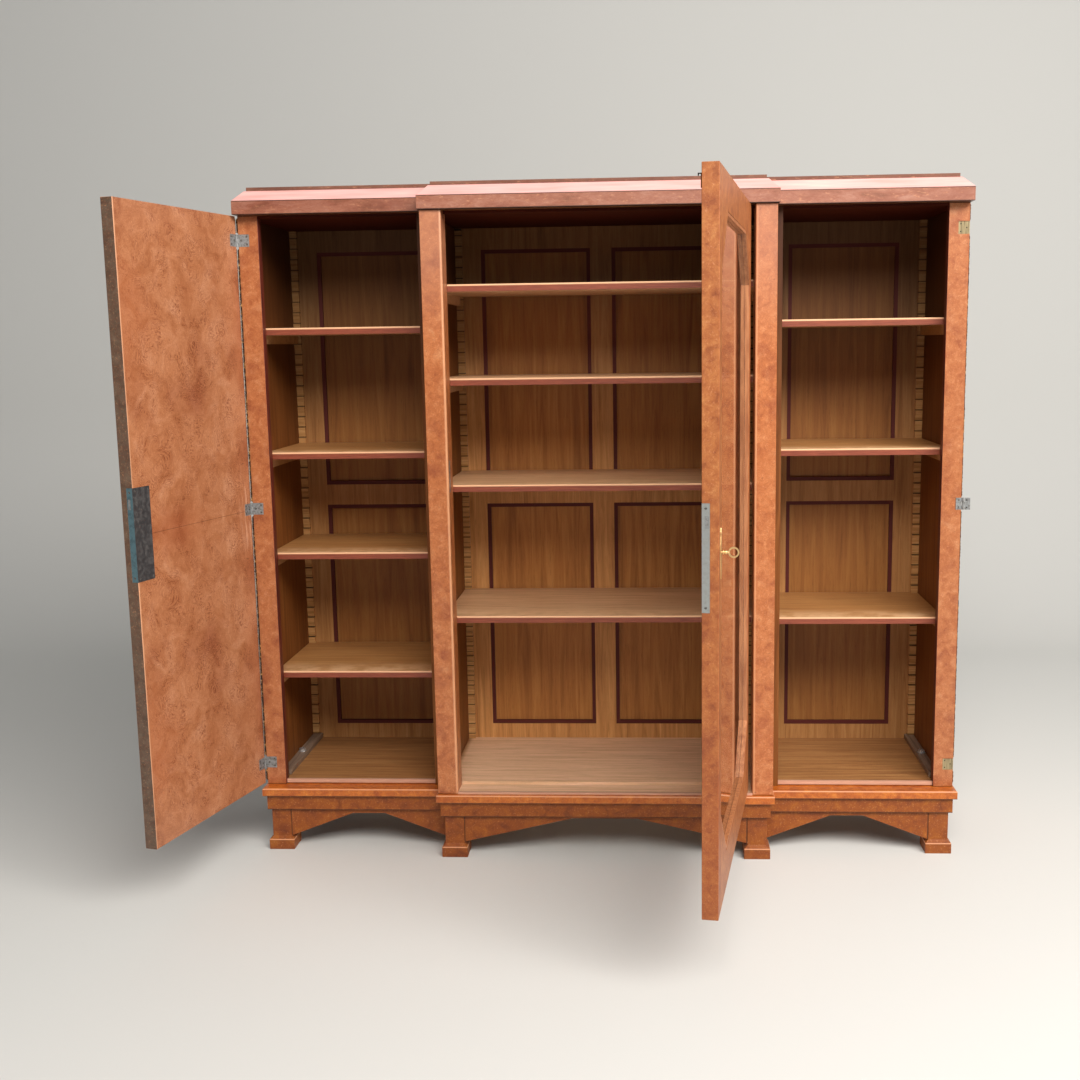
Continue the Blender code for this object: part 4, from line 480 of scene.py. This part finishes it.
# Butt hinges, locks, keeper and hook. Steel leaves let in flush, dull grey; the
# lock case has gone brown, its faceplate keeps the blue of the rolled strip.
finish(["left_hinge_leaf_bottom", "left_hinge_leaf_middle", "left_hinge_leaf_top",
        "right_hinge_loose_leaf", "keeper_plate"], aged_steel)
blue_steel = metal("blued_strip_steel", "#617f88", 0.4, 18, "#44565d", 0.6, 0.5)
finish(["left_door_lock"], dark_steel)
finish(["centre_door_lock"],
       metal("pale_lock_steel", "#9fa3a2", 0.42, 16, "#8a8880", 0.5, 0.6))
finish(["left_lock_bolt", "centre_lock_bolt"], aged_steel)
finish(["catch_hook"], metal("blackened_steel", "#1c1816", 0.5, 8, "#2a221e", 0.5))
STILE_FRONT = -0.4035
LEAF_HEIGHTS = (0.264, 1.0345, 1.8)
centre, normal = face_centres(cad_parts["stile_right"].data)
into_stile = centre[:, 1] - STILE_FRONT
knuckles = centre[:, 0] > 1.0222
fixed_leaf = (centre[:, 0] > 1.0068) & (np.abs(centre[:, 2] - LEAF_HEIGHTS[1]) < 0.0169)
fixed_leaf &= (into_stile > -0.0005) & (into_stile < 0.0011) & (np.abs(normal[:, 1]) > 0.9)
finish_faces("stile_right", aged_steel, knuckles | fixed_leaf)

# Splintered hinge edges. The facing has split away along both outer stiles and the
# left door's hinge edge: a ragged fringe, dark brown as painted shadow in the hinge gaps, with
# fresh yellow breaks.
LEFT_HINGE = (-1.0262, -0.4045)
LEFT_OPEN = math.radians(104.4)
SLAB_WIDTH = 0.5352


def turned(points, pivot, angle):
    """Points turned about an upright axis through pivot."""
    points = np.atleast_2d(points)
    x, y = points[:, 0] - pivot[0], points[:, 1] - pivot[1]
    return np.stack([pivot[0] + x * math.cos(angle) - y * math.sin(angle),
                     pivot[1] + x * math.sin(angle) + y * math.cos(angle),
                     points[:, 2]], axis=1)


def new_piece(name, points, faces, body, materials, smooth=False, used=None):
    """A finished piece at the origin, riding a body of the part.

    Points that fall together are welded, which closes rings without radius to a
    pole, and every closed shell is turned to face outward. used gives each face the
    number of its material.
    """
    mesh = bpy.data.meshes.new(name)
    mesh.from_pydata(points.tolist(), [], faces)
    mesh.polygons.foreach_set("use_smooth", [smooth] * len(mesh.polygons))
    for material in materials:
        mesh.materials.append(material)
    if used is not None:
        mesh.polygons.foreach_set("material_index", used)
    welded = bmesh.new()
    welded.from_mesh(mesh)
    bmesh.ops.remove_doubles(welded, verts=welded.verts, dist=1e-6)
    bmesh.ops.recalc_face_normals(welded, faces=welded.faces)
    welded.to_mesh(mesh)
    welded.free()
    made = bpy.data.objects.new(name, mesh)
    bpy.context.scene.collection.objects.link(made)
    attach(made, body)
    return made


def tube_faces(rows, columns):
    """Quads of a closed tube, rows along it, left open at both ends."""
    index = np.arange(rows * columns).reshape(rows, columns)
    around = np.roll(index, -1, axis=1)
    return np.stack([index[:-1], around[:-1], around[1:], index[1:]], axis=-1).reshape(-1, 4)


def splintered_edge(root_x, front_y, bottom, top, rng, least=0.0030, back=1, out=-1):
    """Ragged fringe: at height z its tip stands w(z) outside the wood it hangs on.

    w is the least width, a running mean of random numbers and squared random numbers,
    so a few splinters are long; the section is a triangle of root, root behind it and
    tip, and a triangle closes each end. back and out are the senses of y and x in which
    it lies.
    """
    z = np.arange(bottom, top, 0.003)
    rough = rng.random(len(z)) ** 2
    slow = np.convolve(rng.random(len(z) + 12), np.ones(13) / 13, "valid")
    width = least + 0.0022 * slow + 0.0010 * rough
    width[[0, -1]] = 0.0003
    tip_y = front_y + back * (0.0008 + 0.0005 * rng.random(len(z)))
    root = np.full_like(z, root_x - 0.0002 * out)
    inner = np.stack([root, np.full_like(z, front_y + 0.0001 * back), z], 1)
    behind = np.stack([root, np.full_like(z, front_y + 0.0026 * back), z], 1)
    tip = np.stack([root_x + out * width, tip_y, z + 0.001 * (rng.random(len(z)) - 0.5)], 1)
    points = np.stack([inner, behind, tip], axis=1).reshape(-1, 3)
    last = len(points)
    ends = [[0, 1, 2], [last - 1, last - 2, last - 3]]
    return points, tube_faces(len(z), 3).tolist() + ends


gap_shade_splinters, tree = new_material("split_edge_and_painted_gap_shade")
where = object_place(tree)
broken = noise(tree, where, 9, 3, 0.7).outputs[0]
colour = tones(tree, broken, ((0.40, "#2a160c"), (0.52, "#4e2f1a"), (0.60, "#8c6234"),
                              (0.68, "#cfa66a")))
polished(tree, colour, 0.8, 0.0)
(stile_outer, facing_front, foot_z), (_, _, head_z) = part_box("stile_left")
stops = [foot_z + 0.012, *(z for mid in LEAF_HEIGHTS for z in (mid - 0.02, mid + 0.02)),
         head_z - 0.004]
rng = np.random.default_rng(11)
for number in range(4):
    ends = stops[2 * number], stops[2 * number + 1]
    points, faces = splintered_edge(stile_outer, facing_front, *ends, rng, 0.0032)
    fringes = [("left_stile_splinters", "cabinet", points)]
    points, _ = splintered_edge(LEFT_HINGE[0] + 0.0042, LEFT_HINGE[1] + 0.0007, *ends, rng,
                                0.0014, -1)
    fringes.append(("left_door_splinters", "left_door", turned(points, LEFT_HINGE, -LEFT_OPEN)))
    points, _ = splintered_edge(-stile_outer, facing_front, *ends, rng, 0.0001, 1, 1)
    fringes.append(("right_stile_splinters", "cabinet", points))
    for fringe, body, points in fringes:
        piece = new_piece("%s_%d" % (fringe, number + 1), points, faces, body,
                          [gap_shade_splinters])


# Screws. Countersunk slotted steel, filed flush with the leaves they hold; the flat
# slot is dark with dirt and painted shade, and the loose leaf has lost its screws and shows the
# holes.

def screw_heads(name, places, body, radius=0.0034, materials=()):
    """Flush screw heads with a slot, or the holes that lost ones left, as flat discs.

    A head is a disc cut in columns across its slot: column a, and b = t sqrt(R2 - a2)
    along it, raised 0.1 mm (1 - r2/R2) over its rim, and closed by the same grid
    0.4 mm lower. places holds a point, a facing direction and a slot angle each;
    materials are those of the head and of its slot, the middle one of the columns.
    """
    half = 0.0006
    a = np.array([-1, -0.9, -0.68, -0.4, -half / radius, half / radius, 0.4, 0.68, 0.9, 1])
    a, t = np.meshgrid(a * radius, np.linspace(-1, 1, 9), indexing="ij")
    b = t * np.sqrt(np.maximum(radius ** 2 - a ** 2, 0))
    rise = 0.0001 * (1 - (a ** 2 + b ** 2) / radius ** 2) + 0.00004
    disc = np.stack([a, b, rise], -1).reshape(-1, 3)
    sheet = np.concatenate([disc, disc - [0, 0, 0.0004]])
    count = len(disc)
    index = np.arange(count).reshape(a.shape)
    top = np.stack([index[:-1, :-1], index[1:, :-1], index[1:, 1:], index[:-1, 1:]],
                   -1).reshape(-1, 4)
    rim = np.concatenate([index[:, 0], index[-1, 1:], index[-2::-1, -1], index[0, -2:0:-1]])
    wall = np.stack([np.roll(rim, -1), rim, rim + count, np.roll(rim, -1) + count], -1)
    faces = np.concatenate([top, top[:, ::-1] + count, wall])
    points, quads = [], []
    for number, (spot, facing, angle) in enumerate(places):
        facing = np.array(facing, float) / np.linalg.norm(facing)
        level = np.cross([0, 0, 1], facing)
        cut = math.cos(angle) * np.array([0, 0, 1]) + math.sin(angle) * level
        axes = np.stack([np.cross(cut, facing), cut, facing])
        points.append(np.array(spot) + sheet @ axes)
        quads.append(faces + 2 * count * number)
    in_slot = np.zeros(len(faces), dtype=np.int32)
    in_slot[32:40] = 1
    made = new_piece(name, np.concatenate(points), np.concatenate(quads).tolist(), body,
                     materials or (screw_steel, slot_shade), used=np.tile(in_slot, len(places)))


screw_steel = metal("filed_screw_steel", "#7d7c7a", 0.4, 3, "#4a4440", 0.6, 0.5)
# Dirt and painted shade for the flat slots and holes.
slot_shade, tree = new_material("dirt_and_painted_shade_in_slots")
polished(tree, linear("#17110d"), 0.8, 0.0)


def swung(spot, facing, pivot, opened):
    """A point and direction given on the closed door, carried to the open one."""
    return turned(spot, pivot, opened)[0], turned((*facing, 0), (0, 0), opened)[0]


SCREW_UP = 0.0105
LEAF_HOLES = ((0.0285, SCREW_UP), (0.0285, -SCREW_UP), (0.0125, 0.0))
on_stile, on_door = [], []
for number, mid in enumerate(LEAF_HEIGHTS):
    for along, up in LEAF_HOLES:
        angle = 0.7 * number + 2.1 * up / SCREW_UP + 0.4
        on_stile.append(((LEFT_HINGE[0] + along, STILE_FRONT, mid + up), (0, -1, 0), angle))
        spot = (LEFT_HINGE[0] + along, LEFT_HINGE[1] + 0.0007, mid + up)
        on_door.append((*swung(spot, (0, 1), LEFT_HINGE, -LEFT_OPEN), angle + 1.0))
screw_heads("stile_leaf_screws", on_stile, "cabinet")
screw_heads("door_leaf_screws", on_door, "left_door")
screw_heads("right_leaf_screws", [
    ((1.0145, STILE_FRONT, LEAF_HEIGHTS[1] + up), (0, -1, 0), 1 + 90 * up)
    for up in (SCREW_UP, -SCREW_UP)], "cabinet", 0.003)
lock_low, lock_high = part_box("left_door_lock")[0][2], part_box("left_door_lock")[1][2]
screw_heads("left_lock_screws", [
    (*swung((LEFT_HINGE[0] + SLAB_WIDTH, LEFT_HINGE[1] - 0.0083, z), (1, 0), LEFT_HINGE,
            -LEFT_OPEN), 1.2 + z) for z in (lock_low + 0.011, lock_high - 0.011)]
    + [(*swung((LEFT_HINGE[0] + u, LEFT_HINGE[1] + 0.0004, z), (0, 1), LEFT_HINGE,
               -LEFT_OPEN), 3 * z) for u in (0.472, 0.525)
       for z in (lock_low + 0.008, lock_high - 0.008)], "left_door", 0.0032)
CENTRE_HINGE = (0.4128, -0.4795)
CENTRE_OPEN = math.radians(81.3)
FREE_EDGE, KEYHOLE = 0.8406, 0.8106
screw_heads("centre_lock_screws", [
    (*swung((CENTRE_HINGE[0] - FREE_EDGE, CENTRE_HINGE[1] + 0.025, z), (-1, 0), CENTRE_HINGE,
            CENTRE_OPEN), 0.5 + z) for z in (lock_low + 0.011, lock_high - 0.011)],
    "centre_door", 0.0032)
keeper_low, keeper_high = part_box("keeper_plate")
screw_heads("keeper_screws", [
    ((keeper_high[0], (keeper_low[1] + keeper_high[1]) / 2, z), (1, 0, 0), 2 * z)
    for z in (keeper_low[2] + 0.007, keeper_high[2] - 0.007)], "cabinet", 0.0026)

# Empty mortises on the right stile. Two hinges are gone and their beds show bare,
# greyed softwood with the old screw holes in it.
bare_wood, tree = new_material("bare_mortise_softwood")
grain = noise(tree, object_place(tree, scale=(1, 1, 0.1)), 6, 4).outputs[0]
polished(tree, tones(tree, grain, ((0.35, "#6f6248"), (0.65, "#a3946f"))), 0.8, 0.0)
LEAF_HALF = 0.0172
lost_leaves = np.array([LEAF_HEIGHTS[0], LEAF_HEIGHTS[2]])
centre, _ = face_centres(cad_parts["stile_right"].data)
away = np.abs(centre[:, 2, None] - lost_leaves).min(axis=1)
finish_faces("stile_right", bare_wood, (away < LEAF_HALF) & (centre[:, 0] > 0.985)
             & (centre[:, 1] > -0.4032) & (centre[:, 1] < -0.4008))
# The old screw holes are flat dark discs: painted shade of the holes.
screw_heads("empty_screw_holes", [
    ((-LEFT_HINGE[0] - along, -0.4017, mid + up), (0, -1, 0), 0)
    for mid in (LEAF_HEIGHTS[0], LEAF_HEIGHTS[2]) for along, up in LEAF_HOLES],
    "cabinet", 0.0018, (slot_shade, slot_shade))
leaf_way = (-0.14, -0.99, 0)
screw_heads("loose_leaf_holes", [
    ((1.0362, -0.40664, LEAF_HEIGHTS[1] + up), leaf_way, 0)
    for up in (SCREW_UP, -SCREW_UP)], "loose_leaf", 0.0022, (slot_shade, slot_shade))

# Left door. One slab; the inner face is a pair of burr leaves matched across
# a joint at mid height, so the figure mirrors there, with pale rubbed streaks.
made, tree = new_material("burr_veneer_matched_slab")
where = add(tree, "TexCoord").outputs["Object"]
place = add(tree, "SeparateXYZ", {0: where})
JOINT_Z = 1.031
above = add(tree, "Math", {0: place.outputs[2], 1: JOINT_Z}, operation="SUBTRACT")
folded = add(tree, "Math", {0: above.outputs[0]}, operation="ABSOLUTE").outputs[0]
matched = add(tree, "CombineXYZ", {0: place.outputs[0], 1: place.outputs[1], 2: folded})
colour, clouds = burr_colour(tree, matched.outputs[0], (
    (0.28, "#9b5e3b"), (0.42, "#b0724c"), (0.54, "#bc7f59"), (0.70, "#c88e6a")), 85, 1.6,
    0.6, 0.4, 0.65)
wide = noise(tree, matched.outputs[0], 420, 2, 0.4).outputs[0]
colour = blend(tree, span(tree, wide, 0.42, 0.62, 0, 0.4), colour, linear("#a9603a"))
line = span(tree, folded, 0.0003, 0.0011, 0.65, 0)
colour = blend(tree, line, colour, linear("#5a2c16"))

# On the open slab the distance from the hinge is measured along the door. The
# arris along the free edge is rubbed pale, and so is a patch near the hinges.
hinge_place = add(tree, "Mapping", {
    0: where, 1: (-LEFT_HINGE[0] * math.cos(LEFT_OPEN) + LEFT_HINGE[1] * math.sin(LEFT_OPEN),
                  -LEFT_HINGE[0] * math.sin(LEFT_OPEN) - LEFT_HINGE[1] * math.cos(LEFT_OPEN),
                  0), 2: (0, 0, LEFT_OPEN)}).outputs[0]
reach = add(tree, "SeparateXYZ", {0: hinge_place}).outputs[0]
pale_band = span(tree, reach, SLAB_WIDTH - 0.005, SLAB_WIDTH - 0.002, 0, 0.7)
colour = blend(tree, pale_band, colour, linear("#e0a680"))
streak = noise(tree, add(tree, "Mapping", {0: where, 3: (1, 1, 0.12)}).outputs[0], 9, 3)
streak = span(tree, streak.outputs[0], 0.5, 0.62, 0, 0.6)
near_hinge = span(tree, reach, 0.02, 0.075, 1, 0)
mid_height = span(tree, folded, 0.02, 0.16, 1, 0)
patch = add(tree, "Math", {0: near_hinge, 1: mid_height}, operation="MULTIPLY").outputs[0]
patch = add(tree, "Math", {0: patch, 1: streak}, operation="MULTIPLY").outputs[0]
colour = blend(tree, patch, colour, linear("#e3b79b"))
polished(tree, colour, 0.4, 0.3, clouds, 0.05)
finish(["left_door_slab"], made)
slab_edge = burr_veneer("dark_stained_slab_edge", (
    (0.30, "#4b3c2f"), (0.45, "#5a4c3d"), (0.58, "#645546"), (0.72, "#716351")), 22, eyes=0.3,
    red=0.2, roughness=0.5, coat=0.1)
centre, normal = face_centres(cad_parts["left_door_slab"].data)
closed = turned(centre, LEFT_HINGE, LEFT_OPEN)
reach_x = closed[:, 0] - LEFT_HINGE[0]
finish_faces("left_door_slab", slab_edge, reach_x > SLAB_WIDTH - 0.0004)
by_leaf = np.abs(closed[:, 2, None] - np.array(LEAF_HEIGHTS)).min(axis=1) < LEAF_HALF
in_leaf = (reach_x < 0.0349) & (np.abs(closed[:, 1] - LEFT_HINGE[1] - 0.0007) < 0.0002)
finish_faces("left_door_slab", aged_steel,
             by_leaf & (in_leaf | (np.hypot(reach_x, closed[:, 1] - LEFT_HINGE[1]) < 0.0036)))
centre, normal = face_centres(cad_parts["left_door_lock"].data)
closed = turned(centre, LEFT_HINGE, LEFT_OPEN)
finish_faces("left_door_lock", blue_steel, closed[:, 0] - LEFT_HINGE[0] > SLAB_WIDTH - 0.0026)

# Centre door. Stiles and rails faced with burr, mitred beads stained dark, one
# pane of old glass held between them.
DOOR_STOPS = ((0.30, "#8a4a20"), (0.44, "#a5602f"), (0.57, "#b06d39"), (0.72, "#be8049"))
finish(["centre_door_hinge_stile", "centre_door_top_rail", "centre_door_bottom_rail"],
       burr_veneer("burr_veneer_door_frame", DOOR_STOPS, 24, shift=(0.5, 0.9, 0.2),
                   roughness=0.5, coat=0.12))
finish(["centre_door_free_stile"],
       burr_veneer("burr_veneer_free_stile", DOOR_STOPS, 24, shift=(0.5, 0.9, 0.2),
                   roughness=0.5, coat=0.12, tint="#f0dcc2", fades=(0.35, 1.1)))
dark_bead, tree = new_material("dark_stained_door_bead")
grain = noise(tree, object_place(tree, scale=(1, 1, 0.1)), 10, 4).outputs[0]
polished(tree, tones(tree, grain, ((0.35, "#9a5c38"), (0.65, "#c08055"))), 0.4, 0.3)
finish(["centre_door_bead_outer", "centre_door_bead_inner"], dark_bead)
old_glass, tree = new_material("clear_drawn_glass")
shader = add(tree, "BsdfPrincipled", {"Base Color": linear("#f2f5f4"), "Roughness": 0.01,
                                      "IOR": 1.5, "Transmission Weight": 1.0})
add(tree, "OutputMaterial", {0: shader.outputs[0]})
finish(["centre_door_glass"], old_glass)

# Escutcheon and key. Cast brass, bright with faint cloudy tarnish; two pins hold
# the plate, and the key's shank has turned collars.
brass = metal("cast_brass", "#ecc88e", 0.28, 5, "#a87f48", 0.35, 0.75)
finish(["centre_door_escutcheon", "key"], brass)


def key_turning(start, way, stations, radii, sides=24):
    """Turned mouldings on the key's shank: radius by distance along it, carried round.

    stations run along the shank from start in the direction way; each ring is
    start + s way + r (cos t level + sin t up), and both end rings have no radius.
    """
    way = np.array(way) / np.linalg.norm(way)
    level = np.cross([0, 0, 1], way)
    t = np.linspace(0, 2 * math.pi, sides, endpoint=False)
    ring = np.cos(t)[:, None] * level + np.sin(t)[:, None] * np.array([0, 0, 1])
    s, rad = np.array(stations)[:, None, None], np.array(radii)[:, None, None]
    points = np.array(start) + s * way + rad * ring
    return points.reshape(-1, 3), tube_faces(len(stations), sides)


KEY_AXIS = (0.988494, -0.151261, 0)
points, faces = key_turning((0.27319, -1.27817, 1.044), KEY_AXIS, (
    0.0268, 0.0268, 0.0274, 0.0286, 0.0292, 0.0300, 0.0318, 0.0330, 0.0350, 0.0362, 0.0372,
    0.0380, 0.0380), (
    0.0, 0.0040, 0.0046, 0.0046, 0.0032, 0.0029, 0.0040, 0.0043, 0.0040, 0.0030, 0.0040,
    0.0036, 0.0))
collars = new_piece("key_collars", points, faces.tolist(), "key", [brass], smooth=True)
pins = [(*swung((CENTRE_HINGE[0] - KEYHOLE, CENTRE_HINGE[1] - 0.0063, z), (0, -1), CENTRE_HINGE,
                CENTRE_OPEN), 0) for z in (0.9895, 1.0925)]
screw_heads("escutcheon_pins", pins, "centre_door", 0.0013, (brass, brass))


# Studio: pale floor and backdrop in one sweep, soft light, and the camera at
# the photograph's viewing angle.

def sweep_floor(half, front, back, height, radius, steps):
    """Floor that curves up into a wall: a profile in y and z carried along x."""
    turn = np.linspace(0, math.pi / 2, steps)
    y = np.concatenate([[front], back - radius + radius * np.sin(turn), [back]])
    z = np.concatenate([[0], radius - radius * np.cos(turn), [height]])
    x = np.array([-half, half])
    grid = np.stack([np.repeat(x, len(y)), np.tile(y, 2), np.tile(z, 2)], axis=1)
    count = len(y)
    faces = [(i, i + count, i + count + 1, i + 1) for i in range(count - 1)]
    mesh = bpy.data.meshes.new("studio_sweep")
    mesh.from_pydata(grid.tolist(), [], faces)
    mesh.polygons.foreach_set("use_smooth", [True] * len(faces))
    made = bpy.data.objects.new("studio_sweep", mesh)
    bpy.context.scene.collection.objects.link(made)
    return made


floor = sweep_floor(9, -9, 3.2, 7, 1.2, 16)
paper, tree = new_material("pale_paper")
diffuse = add(tree, "BsdfDiffuse", {0: linear("#d9dad8")})
add(tree, "OutputMaterial", {0: diffuse.outputs[0]})
floor.data.materials.append(paper)


def soft_light(name, place, target, size, power, code):
    data = bpy.data.lights.new(name, "AREA")
    data.shape = "RECTANGLE"
    data.size, data.size_y = size
    data.energy = power
    data.color = linear(code)[:3]
    made = bpy.data.objects.new(name, data)
    bpy.context.scene.collection.objects.link(made)
    way = np.array(target, float) - np.array(place, float)
    flat = math.hypot(way[0], way[1])
    made.location = place
    made.rotation_euler = (math.atan2(flat, -way[2]), 0, math.atan2(-way[0], way[1]))


soft_light("sky_soft_box", (1.8, -4.2, 4.3), (0, -0.1, 0.8), (5.4, 2.2), 430, "#fff9f2")
soft_light("right_soft_box", (4.4, -3.2, 3.2), (0, -0.4, 0.9), (2.4, 2.4), 90, "#fff9f2")

world = bpy.data.worlds.new("even_studio_air")
world.use_nodes = True
world.node_tree.nodes["Background"].inputs[0].default_value = linear("#eef0f2")
world.node_tree.nodes["Background"].inputs[1].default_value = 0.2
bpy.context.scene.world = world

camera = bpy.data.cameras.new("camera")
camera.sensor_width = 36
PICTURE, FOCAL, CENTRE_X, CENTRE_Y = 1080, 1260.63, 589.40, 538.65
camera.lens = FOCAL / PICTURE * camera.sensor_width
camera.shift_x = -(CENTRE_X - PICTURE / 2) / PICTURE
camera.shift_y = (CENTRE_Y - PICTURE / 2) / PICTURE
eye = bpy.data.objects.new("camera", camera)
bpy.context.scene.collection.objects.link(eye)
YAW, PITCH, ROLL = 0.0520, -0.1528, -0.0139
EYE_PLACE = (0.1498, -4.0079, 1.4960)
ahead = np.array([-math.sin(YAW) * math.cos(PITCH), math.cos(YAW) * math.cos(PITCH),
                  math.sin(PITCH)])
level = np.array([math.cos(YAW), math.sin(YAW), 0])
upward = np.cross(level, ahead)
right = math.cos(ROLL) * level + math.sin(ROLL) * upward
upward = -math.sin(ROLL) * level + math.cos(ROLL) * upward
turn = np.eye(4)
turn[:3, 0], turn[:3, 1], turn[:3, 2] = right, upward, -ahead
turn[:3, 3] = EYE_PLACE
eye.matrix_world = Matrix(turn.tolist())
bpy.context.scene.camera = eye
bpy.context.scene.view_settings.view_transform = "Standard"
